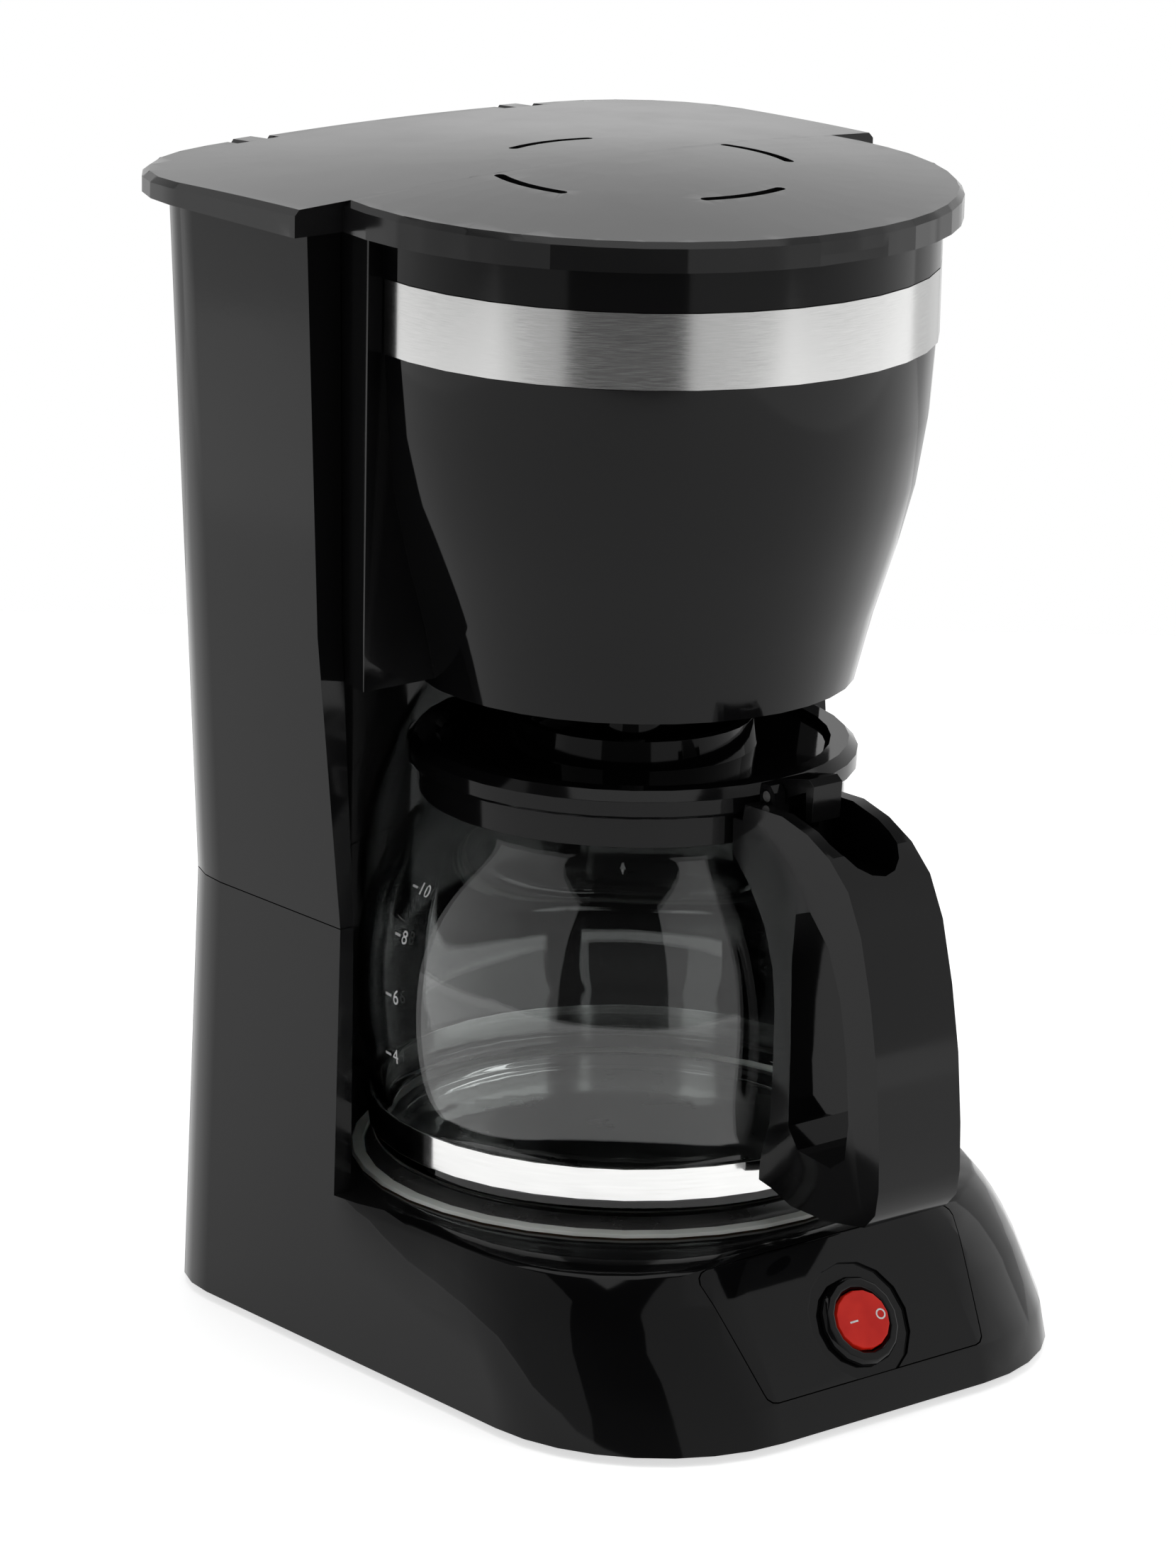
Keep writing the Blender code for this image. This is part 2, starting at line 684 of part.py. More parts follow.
# ---------------------------------------------------------------- water path
def make_hoses():
    bore = TUBE_R + HOSE_FIT
    outer = bore + HOSE_WALL
    left_x, _ = element_end(-1)
    right_x, _ = element_end(1)
    start_y = TUBE_END_Y
    valve_low, valve_high = 0.078, 0.096
    cold = sweep("inlet_hose", [
        (left_x, start_y, TUBE_Z), (left_x, start_y + 0.012, TUBE_Z), (left_x - 0.005, 0.081, TUBE_Z - 0.003),
        (-0.034, 0.0885, 0.044), (OUTLET_X + 0.001, OUTLET_Y, 0.060), (OUTLET_X, OUTLET_Y, valve_low - GAP)],
        outer, bore, silicone())
    hot = sweep("outlet_hose", [
        (right_x, start_y, TUBE_Z), (right_x, start_y + 0.012, TUBE_Z), (0.014, 0.084, TUBE_Z - 0.003),
        (0.006, RISER_Y + 0.002, 0.044), (0, RISER_Y, 0.062), (0, RISER_Y, 0.095), (0, RISER_Y, 0.1185)],
        outer, bore, silicone())
    valve = lathe("check_valve", [
        (0.0016, valve_low), (0.0046, valve_low), (0.0056, valve_low + 0.003), (0.0056, valve_high - 0.003),
        (0.0046, valve_high), (0.0016, valve_high)], satin_black(), 12,
        Matrix.Translation((OUTLET_X, OUTLET_Y, 0)))
    supply = sweep("tank_hose", [
        (OUTLET_X, OUTLET_Y, valve_high + GAP), (OUTLET_X, OUTLET_Y, 0.105), (OUTLET_X, OUTLET_Y, 0.1195)],
        outer, bore, silicone())
    return cold, hot, valve, supply


RISER_LOW = 0.110
CHANNEL_LOW = RIM_Z - 0.0104


def make_riser():
    place = Matrix.Translation((0, RISER_Y, 0))
    tube = lathe("riser_tube", [
        (TUBE_BORE, RISER_LOW), (TUBE_R, RISER_LOW),
        (TUBE_R, CHANNEL_LOW - GAP), (TUBE_BORE, CHANNEL_LOW - GAP)],
        satin_black(), 16, place)
    floor = SEAM_Z + GAP
    inner = TUBE_R + GAP
    seal = lathe("riser_seal", [
        (inner, floor - 0.0012), (inner, floor + WALL + 0.0025), (inner + 0.0016, floor + WALL + 0.0025),
        (inner + 0.0016, floor + WALL + 0.001), (inner + 0.001, floor + WALL + 0.001),
        (inner + 0.001, floor - 0.0012)], rubber(), 12, place)
    return tube, seal


def tank_levels():
    return [SEAM_Z + GAP, 0.16, CHEEK_MID_Z, 0.255, RIM_Z]


def make_tank_housing():
    tank = loft("tank_housing", [ring_at(z, 0.0, False) for z in tank_levels()], gloss_black())
    boolean(tank, recess(RECESS_R, SEAM_Z - 0.02, RIM_Z + 0.02))
    floor = SEAM_Z + GAP + WALL
    levels = [floor] + tank_levels()[1:]
    rings = [ring_at(z, WALL, False) for z in levels]
    rings.append([(x, y, z + 0.01) for x, y, z in rings[-1]])
    water = loft("water", rings)
    boolean(water, recess(RECESS_R + WALL, SEAM_Z, RIM_Z + 0.03))
    boolean(tank, water)
    for side in (-1, 1):
        for inner in (side * HINGE_X - KNUCKLE_W / 2 - GAP - EAR_W, side * HINGE_X + KNUCKLE_W / 2 + GAP):
            boolean(tank, hinge_ear("ear", inner, inner + EAR_W), "UNION")
    boolean(tank, box("channel_slot", (-0.012, 0.075, CHANNEL_LOW - 0.003), (0.012, 0.095, RIM_Z + 0.01)))
    seal_r = TUBE_R + 2 * GAP + 0.001
    boolean(tank, rod("riser_hole", seal_r, (0, RISER_Y, 0.1), (0, RISER_Y, 0.14), segments=16))
    nipple = rod("nipple", TUBE_R, (OUTLET_X, OUTLET_Y, 0.112), (OUTLET_X, OUTLET_Y, floor - 0.001))
    boolean(tank, nipple, "UNION")
    outlet_low, outlet_high = (OUTLET_X, OUTLET_Y, 0.10), (OUTLET_X, OUTLET_Y, 0.14)
    boolean(tank, rod("outlet", TUBE_BORE, outlet_low, outlet_high, segments=12))
    return tank


def hinge_ear(name, low_x, high_x):
    """One ear of the lid hinge: a lug from the rear wall round the pin."""
    z = LID_SKIRT_Z
    top = KNUCKLE_R
    outline = arc((HINGE_Y, z), top, 90, -60, 6)
    outline += [(TOP_REAR - 0.001, z - 0.010), (TOP_REAR - 0.001, z + top)]
    ear = prism(name, outline, low_x, high_x)
    hole = HINGE_PIN_R + PIN_FIT
    boolean(ear, rod("pin_hole", hole, (low_x - 0.01, HINGE_Y, z), (high_x + 0.01, HINGE_Y, z), segments=16))
    return ear


# ---------------------------------------------------------------- brew head
def head_profile():
    """Outer radius of the brew head at each height, from the floor to the rim."""
    return [(HEAD_FLOOR_Z, 0.0602), (0.204, 0.0648), (0.224, 0.0709), (0.240, 0.0750),
            (0.258, 0.0777), (BAND_LOW_Z - GAP, 0.0790)]


def make_brew_head():
    outer = [(0, HEAD_FLOOR_Z)] + [(r, z) for z, r in head_profile()]
    groove = HEAD_R - BAND_THICK - GAP
    outer += [(groove, BAND_LOW_Z - GAP), (groove, BAND_HIGH_Z + GAP), (HEAD_R, BAND_HIGH_Z + GAP),
              (HEAD_R, RIM_Z), (0, RIM_Z)]
    head = lathe("brew_head", outer, gloss_black())
    wing = rod("wing", RECESS_R - GAP, (0, 0, HEAD_FLOOR_Z + 0.003), (0, 0, RIM_Z - 0.00005), segments=ROUND)
    boolean(wing, box("front", (-0.1, -0.1, 0.1), (0.1, 0.012, 0.4)))
    boolean(head, wing, "UNION")
    inner = [(r - WALL, z) for z, r in head_profile() if HEAD_FLOOR_Z + WALL < z < LEDGE_Z]
    inner = [(0, HEAD_FLOOR_Z + WALL), (head_profile()[0][1] - WALL, HEAD_FLOOR_Z + WALL)] + inner
    ledge_r = HEAD_R - BAND_THICK - GAP - WALL - 0.003
    inner += [(ledge_r, LEDGE_Z - 0.0095), (ledge_r, LEDGE_Z), (ledge_r + 0.003, LEDGE_Z),
              (ledge_r + 0.003, RIM_Z + 0.01), (0, RIM_Z + 0.01)]
    boolean(head, lathe("chamber", inner))
    boolean(head, rod("nozzle_hole", HEAD_HOLE_R, (0, 0, 0.17), (0, 0, 0.2), segments=32))
    boolean(head, box("channel_slot", (-0.012, 0.06, CHANNEL_LOW - 0.003), (0.012, 0.095, RIM_Z + 0.01)))
    return head


def make_steel_band():
    low, high = BAND_LOW_Z, BAND_HIGH_Z
    band = lathe("steel_band", [
        (HEAD_R - BAND_THICK, low), (HEAD_R, low), (HEAD_R, high), (HEAD_R - BAND_THICK, high)], steel())
    boolean(band, box("rear", (-0.1, 0.0115, 0.2), (0.1, 0.1, 0.4)))
    return band


def make_filter_basket():
    ledge_r = HEAD_R - BAND_THICK - GAP - WALL - 0.003
    top = ledge_r - 0.001
    mid = (0.0615, 0.250)
    floor = BASKET_FLOOR_Z
    flange = ledge_r + 0.003 - 0.0006
    profile = [(NOZZLE_BORE, 0.190), (NOZZLE_R, 0.190), (NOZZLE_R, floor - BASKET_WALL),
               (BASKET_FLOOR_R, floor - BASKET_WALL), mid, (top, LEDGE_Z - 0.004), (top, LEDGE_Z + GAP),
               (flange, LEDGE_Z + GAP), (flange, LEDGE_Z + GAP + 0.002),
               (top - BASKET_WALL, LEDGE_Z + GAP + 0.002),
               (top - BASKET_WALL, LEDGE_Z - 0.004), (mid[0] - BASKET_WALL, mid[1]),
               (BASKET_FLOOR_R - 0.001, floor), (NOZZLE_BORE, floor)]
    return lathe("filter_basket", profile, satin_black())


def make_drip_stop():
    seat = BASKET_FLOOR_Z
    seal_low = seat + GAP + VALVE_TRAVEL
    seal = lathe("valve_seal", [
        (VALVE_STEM_R + GAP, seal_low), (VALVE_HEAD_R, seal_low), (VALVE_HEAD_R, seal_low + 0.001),
        (VALVE_STEM_R + GAP, seal_low + 0.001)], silicone(), 16)
    head_low = seal_low + 0.001 + GAP
    head_top = head_low + 0.0025
    tip = BOSS_TOP_Z + GAP
    valve = lathe("drip_stop_valve", [
        (0, tip), (VALVE_STEM_R - 0.001, tip), (VALVE_STEM_R, tip + 0.001), (VALVE_STEM_R, head_low),
        (VALVE_HEAD_R, head_low), (VALVE_HEAD_R, head_top), (0, head_top)], satin_black(), 16)
    low, high = head_top + GAP + SPRING_WIRE, SPRING_TOP - GAP - SPRING_WIRE
    count = SPRING_TURNS * 9
    points = []
    for k in range(count + 1):
        a = 2 * math.pi * SPRING_TURNS * k / count
        points.append((0.0052 * math.cos(a), 0.0052 * math.sin(a), low + (high - low) * k / count))
    spring = sweep_raw("valve_spring", points, SPRING_WIRE, bright_steel(), 4)
    cage_r = 0.012
    cage = lathe("valve_cage", [
        (0, SPRING_TOP), (cage_r - 0.0022, SPRING_TOP), (cage_r - 0.0022, seat + GAP), (cage_r, seat + GAP),
        (cage_r, SPRING_TOP + 0.0017), (0, SPRING_TOP + 0.0017)], satin_black(), 20)
    for turn in (0, 90):
        window = box("window", (-0.02, -0.005, seat + 0.0015), (0.02, 0.005, SPRING_TOP - 0.002))
        window.data.transform(Matrix.Rotation(math.radians(turn + 45), 4, "Z"))
        boolean(cage, window)
    return valve, seal, spring, cage


def sweep_raw(name, points, radius, surface, sides):
    """A solid wire along the points as they are."""
    path = [Vector(p) for p in points]
    rings = []
    for i, here in enumerate(path):
        along = (path[min(i + 1, len(path) - 1)] - path[max(i - 1, 0)]).normalized()
        side = along.cross(Vector((0, 0, 1))).normalized()
        up = side.cross(along)
        angles = [2 * math.pi * k / sides for k in range(sides)]
        rings.append([here + radius * (math.cos(a) * side + math.sin(a) * up) for a in angles])
    return loft(name, rings, surface)


# ---------------------------------------------------------------- lid
def lid_outline(inset, tuck=0.0):
    """Lid outline at one level: round front, stepped in from the wide rear part."""
    radius = LID_FRONT_R - inset - tuck
    step_y = LID_STEP_Y + inset
    reach = step_y - LID_FRONT_Y
    start = math.degrees(math.asin(max(-1.0, min(1.0, reach / radius))))
    width = LID_HALF_W - inset - tuck
    rear = LID_REAR - inset - tuck
    corner = LID_REAR_CORNER - inset
    right = [(0.0, rear)] + arc((width - corner, rear - corner), corner, 90, 0, 6) + [(width, step_y)]
    right += arc((0, LID_FRONT_Y), radius, start, -90, 13)
    right[-1] = (0.0, LID_FRONT_Y - radius)
    left = [(-x, y) for x, y in right[::-1] if x > 1e-9]
    return right + left


def dome_z(x, y):
    """Height of the domed top, level with LID_EDGE_Z at LID_DOME_R from its middle."""
    share = (x ** 2 + (y - LID_DOME_Y) ** 2) / LID_DOME_R ** 2
    return LID_EDGE_Z + LID_CROWN * (1 - share) / (1 + 0.5 * share)


def lid_rings(inset, drop, low):
    """Rings from the skirt's lower edge over the edge round to the middle of the dome."""
    rounding = 0.0015
    outline = lid_outline(inset)
    rings = [[(x, y, low) for x, y in outline]]
    rings.append([(x, y, dome_z(x, y) - rounding - drop) for x, y in outline])
    for share in (1.0, 0.74, 0.48, 0.26, 0.1):
        ring = []
        for x, y in lid_outline(inset, rounding):
            inner_y = LID_DOME_Y + (y - LID_DOME_Y) * share
            ring.append((x * share, inner_y, dome_z(x * share, inner_y) - drop))
        rings.append(ring)
    return rings


def finger_recess():
    front = LID_FRONT_Y - LID_FRONT_R + LID_RECESS_DEPTH
    low = (-LID_RECESS_HALF_W, front - 0.01, LID_SKIRT_Z - 0.01)
    return box("finger_recess", low, (LID_RECESS_HALF_W, front, LID_SKIRT_Z + LID_RECESS_H))


def make_lid():
    lid = loft("lid", lid_rings(0.0, 0.0, LID_SKIRT_Z), satin_black())
    boolean(lid, loft("underside", lid_rings(LID_WALL, LID_WALL, LID_SKIRT_Z - 0.01)))
    for k in range(4):
        boolean(lid, steam_slot(90 * k))
    for side in (-1, 1):
        reach = KNUCKLE_W / 2 + 2 * GAP + EAR_W
        low_x, high_x = side * HINGE_X - reach - GAP, side * HINGE_X + reach + GAP
        boolean(lid, box("hinge_notch", (low_x, 0.108, 0.29), (high_x, 0.12, 0.33)))
        boolean(lid, lid_knuckle(side * HINGE_X), "UNION")
    boolean(lid, finger_recess())
    move_origin(lid, (0, HINGE_Y, LID_SKIRT_Z))
    return lid


def lid_knuckle(x):
    """The lid's knuckle: an arm from the dome's rear edge down to the hinge pin."""
    z = LID_SKIRT_Z
    outline = arc((HINGE_Y, z), KNUCKLE_R, 20, -180, 8)
    under = LID_EDGE_Z - LID_WALL
    outline += [(HINGE_Y - KNUCKLE_R, under - 0.0012), (0.1065, under - 0.0008)]
    outline += [(0.1065, LID_EDGE_Z - 0.0003), (HINGE_Y - 0.0015, LID_EDGE_Z - 0.0006)]
    knuckle = prism("knuckle", outline, x - KNUCKLE_W / 2, x + KNUCKLE_W / 2)
    hole = HINGE_PIN_R + PIN_FIT
    boolean(knuckle, rod("pin_hole", hole, (x - 0.02, HINGE_Y, z), (x + 0.02, HINGE_Y, z), segments=16))
    return knuckle


def steam_slot(middle):
    """One steam slot on its arc, with round ends."""
    half = math.degrees(SLOT_HALF_ANGLE)
    outer = arc((0, 0), SLOT_R + SLOT_W / 2, middle - half, middle + half, 6)
    a, b = math.radians(middle + half), math.radians(middle - half)
    end_r = SLOT_W / 2
    far_end = (SLOT_R * math.cos(a), SLOT_R * math.sin(a))
    far = arc(far_end, end_r, middle + half + 30, middle + half + 150, 3)
    inner = arc((0, 0), SLOT_R - SLOT_W / 2, middle + half, middle - half, 6)
    near_end = (SLOT_R * math.cos(b), SLOT_R * math.sin(b))
    near = arc(near_end, end_r, middle - half + 210, middle - half + 330, 3)
    return prism("slot", outer + far + inner + near, LID_EDGE_Z - 0.01, LID_EDGE_Z + 0.02, "Z")


def make_hinge_pin(name, x):
    reach = KNUCKLE_W / 2 + GAP + EAR_W
    left, right = (x - reach, HINGE_Y, LID_SKIRT_Z), (x + reach, HINGE_Y, LID_SKIRT_Z)
    return rod(name, HINGE_PIN_R, left, right, steel(), 12)


def make_water_channel():
    top = LID_EDGE_Z - LID_WALL - GAP
    rear = RISER_Y + 0.008
    channel = box("water_channel", (-0.009, -0.012, CHANNEL_LOW), (0.009, rear, top), satin_black())
    trough_low = (-0.0072, -0.0102, CHANNEL_LOW + 0.0018)
    boolean(channel, box("trough", trough_low, (0.0072, rear - 0.0018, top + 0.01)))
    low, high = CHANNEL_LOW - 0.013, CHANNEL_LOW + 0.004
    boolean(channel, rod("inlet", TUBE_R, (0, RISER_Y, low), (0, RISER_Y, high), segments=16))
    boolean(channel, rod("outlet", 0.004, (0, 0, low), (0, 0, high), segments=16))
    return channel


SHOWER_HOLES = 7


def make_shower_head():
    top = CHANNEL_LOW - GAP
    shower = lathe("shower_head", [
        (0, top - 0.003), (0.026, top - 0.003), (0.026, top), (0.0242, top), (0.0242, top - 0.0016),
        (0, top - 0.0016)], satin_black(), 28)
    for k in range(SHOWER_HOLES):
        a = 2 * math.pi * (k + 0.4) / SHOWER_HOLES
        x, y = 0.017 * math.cos(a), 0.017 * math.sin(a)
        boolean(shower, rod("hole", 0.0015, (x, y, 0.29), (x, y, 0.31), segments=9))
    return shower


# ---------------------------------------------------------------- carafe
def glass_profile():
    """Outer outline of the glass, (radius, height), from the foot to the mouth."""
    r = CARAFE_R
    neck = GLASS_NECK_R
    return [(r - 0.0115, GLASS_FLOOR_Z), (r - 0.0065, GLASS_FLOOR_Z + 0.0012),
            (r - 0.0052, GLASS_FLOOR_Z + 0.0038),
            (STRAP_R - GAP, STRAP_LOW_Z - 0.001), (STRAP_R - GAP, STRAP_HIGH_Z + 0.001), (r - 0.0038, 0.0695),
            (r - 0.0015, 0.077), (r, 0.094), (r - 0.0012, 0.112), (r - 0.0055, 0.127),
            (r - 0.0135, 0.1395), (neck + 0.0015, 0.1485), (neck, 0.153),
            (neck, GLASS_RIM_Z)]


def make_carafe_glass():
    outer = glass_profile()
    inner = [(r - GLASS_WALL, z) for r, z in outer[3:]]
    inner = [(outer[0][0] - 0.001, GLASS_FLOOR_Z + 0.0028)] + inner
    profile = [(0, GLASS_FLOOR_Z + 0.0012), (outer[0][0] - 0.006, GLASS_FLOOR_Z + 0.0012)]
    profile += outer + inner[::-1] + [(0, GLASS_FLOOR_Z + 0.0036)]
    return lathe("carafe_glass", profile, glass())


def make_carafe_strap():
    inner = STRAP_R
    outer = STRAP_R + STRAP_THICK
    strap = lathe("carafe_strap", [
        (inner, STRAP_LOW_Z), (outer, STRAP_LOW_Z), (outer, STRAP_HIGH_Z), (inner, STRAP_HIGH_Z)],
        bright_steel())
    tab = box("tab", (-0.006, -STRAP_R - 0.0068, 0.0585), (0.006, -STRAP_R - 0.0004, 0.0600))
    boolean(strap, tab, "UNION")
    hole_y = -STRAP_R - 0.0040
    boolean(strap, rod("hole", 0.0019, (0, hole_y, 0.05), (0, hole_y, 0.07), segments=12))
    return strap


def make_carafe_collar():
    inner = GLASS_NECK_R + 0.0024
    outer = inner + 0.0033
    top = CARAFE_LID_Z - GAP
    return lathe("carafe_collar", [
        (inner, COLLAR_LOW_Z), (outer, COLLAR_LOW_Z), (outer, top), (GLASS_NECK_R - 0.0012, top),
        (GLASS_NECK_R - 0.0012, GLASS_RIM_Z + GAP), (inner, GLASS_RIM_Z + GAP)], satin_black())


def make_carafe_lid():
    low = CARAFE_LID_Z
    top = low + CARAFE_LID_H
    plug = GLASS_NECK_R - GLASS_WALL - 0.0008
    rib = CARAFE_LID_R - 0.0275
    lid = lathe("carafe_lid", [
        (FUNNEL_R, low + 0.0035), (plug - 0.002, low + 0.0035),
        (plug - 0.002, low - 0.008), (plug, low - 0.008),
        (plug, low), (CARAFE_LID_R - 0.001, low), (CARAFE_LID_R, low + 0.001), (CARAFE_LID_R, top - 0.0025),
        (CARAFE_LID_R - 0.0025, top), (CARAFE_LID_R - 0.0075, top), (CARAFE_LID_R - 0.009, top - 0.002),
        (rib, top - 0.002), (rib - 0.001, top + 0.006), (rib - 0.004, top + 0.006),
        (rib - 0.005, top - 0.002), (BOSS_R + 0.002, top - 0.001),
        (BOSS_R, BOSS_TOP_Z - 0.0035), (FUNNEL_R + 0.0035, BOSS_TOP_Z), (FUNNEL_R, BOSS_TOP_Z)],
        satin_black())
    y, z = LID_PIN_Y, LID_PIN_Z
    root = 0.0035 - CARAFE_LID_R
    outline = [(root, low + 0.002), (y - 0.002, z - 0.0035), (y - 0.004, z),
               (y - 0.0105, z + 0.0028), (y - 0.0108, z - 0.0050), (y - 0.0130, z - 0.0050),
               (y - 0.0137, z + 0.0050), (y - 0.0115, z + 0.0066), (y, z + 0.0042),
               (root, top - 0.0005)]
    boolean(lid, prism("lever", outline[::-1], -0.005, 0.005), "UNION")
    hole = LID_PIN_R + GAP
    left, right = (-0.02, LID_PIN_Y, LID_PIN_Z), (0.02, LID_PIN_Y, LID_PIN_Z)
    boolean(lid, rod("pin_hole", hole, left, right, segments=12))
    return lid


def handle_outline():
    """Side view of the handle, (y, z): over the top, down the grip, back along the lower arm."""
    return [(-0.0587, 0.1584), (-0.0624, 0.1584), (-0.0632, 0.1630), (-0.0780, 0.1632), (-0.0880, 0.1606),
            (-0.0970, 0.1560), (-0.1045, 0.1490), (-0.1100, 0.1380), (-0.1145, 0.1210), (-0.1178, 0.1030),
            (-0.1196, 0.0840), (-0.1200, 0.0710), (-0.1190, 0.0640), (-0.1150, 0.0595), (-0.1000, 0.0570),
            (-0.0860, 0.0572), (-0.0780, 0.0600), (-0.0730, 0.0610), (-0.0730, 0.0640), (-0.0740, 0.0700),
            (-0.0766, 0.0780), (-0.0772, 0.0900), (-0.0772, 0.1100), (-0.0760, 0.1210), (-0.0722, 0.1320),
            (-0.0660, 0.1412), (-0.0587, 0.1490)]


def finger_gap():
    """The gap that the fingers go through, (y, z)."""
    return [(-0.0840, 0.0790), (-0.0880, 0.0735), (-0.1010, 0.0720), (-0.1065, 0.0760), (-0.1075, 0.0860),
            (-0.1060, 0.1030), (-0.1028, 0.1190), (-0.0975, 0.1320), (-0.0900, 0.1400), (-0.0845, 0.1380),
            (-0.0835, 0.1250), (-0.0840, 0.1000)]


def make_carafe_handle():
    half = HANDLE_HALF_W
    handle = prism("carafe_handle", handle_outline()[::-1], -half, half, "X", gloss_black())
    boolean(handle, prism("gap", finger_gap()[::-1], -half - 0.01, half + 0.01))
    scoop = arc((0.0, -0.0925), 0.0105, 0, -180, 8)
    scoop = [(0.0105, -0.0705)] + scoop + [(-0.0105, -0.0705)]
    boolean(handle, prism("scoop", scoop, 0.1475, 0.18, "Z"))
    boolean(handle, box("lid_slot", (-0.0054, -0.080, 0.1550), (0.0054, -0.055, 0.18)))
    y, z = LID_PIN_Y, LID_PIN_Z
    ear = [(y + 0.0026, 0.160), (y + 0.0026, z + 0.002), (y + 0.0014, z + 0.0032),
           (y - 0.0014, z + 0.0032), (y - 0.0030, z + 0.0015), (y - 0.0034, 0.160)]
    for low in (-0.0094, 0.0056):
        boolean(handle, prism("ear", ear[::-1], low, low + 0.0038), "UNION")
    hole = LID_PIN_R + GAP
    left, right = (-0.012, LID_PIN_Y, LID_PIN_Z), (0.012, LID_PIN_Y, LID_PIN_Z)
    boolean(handle, rod("pin_hole", hole, left, right, segments=12))
    boolean(handle, box("strap_pocket", (-0.0066, -0.0780, 0.0580), (0.0066, -0.0700, 0.0606)))
    screw_y = -STRAP_R - 0.0040
    boolean(handle, rod("screw_hole", 0.0019, (0, screw_y, 0.05), (0, screw_y, 0.072), segments=12))
    boolean(handle, rod("drain", 0.004, (0, -0.1060, 0.04), (0, -0.1060, 0.066), segments=16))
    return handle


def make_carafe_pin():
    left, right = (-0.0094, LID_PIN_Y, LID_PIN_Z), (0.0094, LID_PIN_Y, LID_PIN_Z)
    return rod("carafe_lid_pin", LID_PIN_R, left, right, steel(), 12)


def make_strap_screw():
    return lathe("strap_screw", [
        (0, 0.0545), (0.0026, 0.0545), (0.003, 0.0552), (0.003, 0.0566), (0.0015, 0.0566), (0.0015, 0.0700),
        (0.0007, 0.0712), (0, 0.0712)], steel(), ROUND_SMALL, Matrix.Translation((0, -STRAP_R - 0.0040, 0)))


# ---------------------------------------------------------------- assembly
def clear_scene():
    for old in list(bpy.data.objects):
        bpy.data.objects.remove(old)


def build():
    clear_scene()
    make_base_housing()
    make_control_panel()
    make_switch()
    make_bottom_cover()
    for (x, y), where in zip(screw_posts(), ("front_right", "front_left", "rear_right", "rear_left")):
        make_cover_screw("cover_screw_" + where, x, y)
    for (x, y), where in zip(foot_places(), ("front_right", "front_left", "rear_right", "rear_left")):
        make_foot("foot_" + where, x, y)
    make_cord_grommet()
    make_plate()
    make_heating_element()
    make_element_clamp()
    make_plate_stud("plate_stud_left", -STUD_X)
    make_plate_stud("plate_stud_right", STUD_X)
    make_thermostat()
    make_thermal_fuse()
    make_hoses()
    make_riser()
    make_tank_housing()
    make_brew_head()
    make_steel_band()
    make_filter_basket()
    make_drip_stop()
    make_lid()
    make_hinge_pin("hinge_pin_left", -HINGE_X)
    make_hinge_pin("hinge_pin_right", HINGE_X)
    make_water_channel()
    make_shower_head()
    make_carafe_glass()
    make_carafe_strap()
    make_carafe_collar()
    make_carafe_lid()
    make_carafe_handle()
    make_carafe_pin()
    make_strap_screw()


build()
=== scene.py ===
import json
import math

import bpy
from mathutils import Matrix, Vector


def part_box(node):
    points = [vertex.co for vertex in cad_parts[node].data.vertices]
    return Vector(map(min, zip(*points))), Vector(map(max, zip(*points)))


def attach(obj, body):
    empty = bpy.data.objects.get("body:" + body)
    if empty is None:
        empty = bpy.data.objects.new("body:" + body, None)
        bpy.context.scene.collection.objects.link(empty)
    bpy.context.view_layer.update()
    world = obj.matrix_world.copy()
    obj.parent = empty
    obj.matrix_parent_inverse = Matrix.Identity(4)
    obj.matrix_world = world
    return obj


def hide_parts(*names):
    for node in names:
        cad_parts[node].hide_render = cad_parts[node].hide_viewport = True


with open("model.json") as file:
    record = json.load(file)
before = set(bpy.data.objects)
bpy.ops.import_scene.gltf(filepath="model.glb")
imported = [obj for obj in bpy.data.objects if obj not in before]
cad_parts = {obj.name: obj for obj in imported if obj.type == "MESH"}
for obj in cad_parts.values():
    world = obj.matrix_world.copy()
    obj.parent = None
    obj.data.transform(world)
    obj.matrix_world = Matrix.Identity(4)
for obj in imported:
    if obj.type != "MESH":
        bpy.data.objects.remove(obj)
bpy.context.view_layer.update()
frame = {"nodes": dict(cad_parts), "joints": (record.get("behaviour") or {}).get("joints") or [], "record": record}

SLOT_OF = {p["node"]: p["material_slot"] for p in frame["record"]["subparts"]}
BODY_OF = {n: b for b, names in frame["record"]["behaviour"]["bodies"].items() for n in names}
MM = 0.001


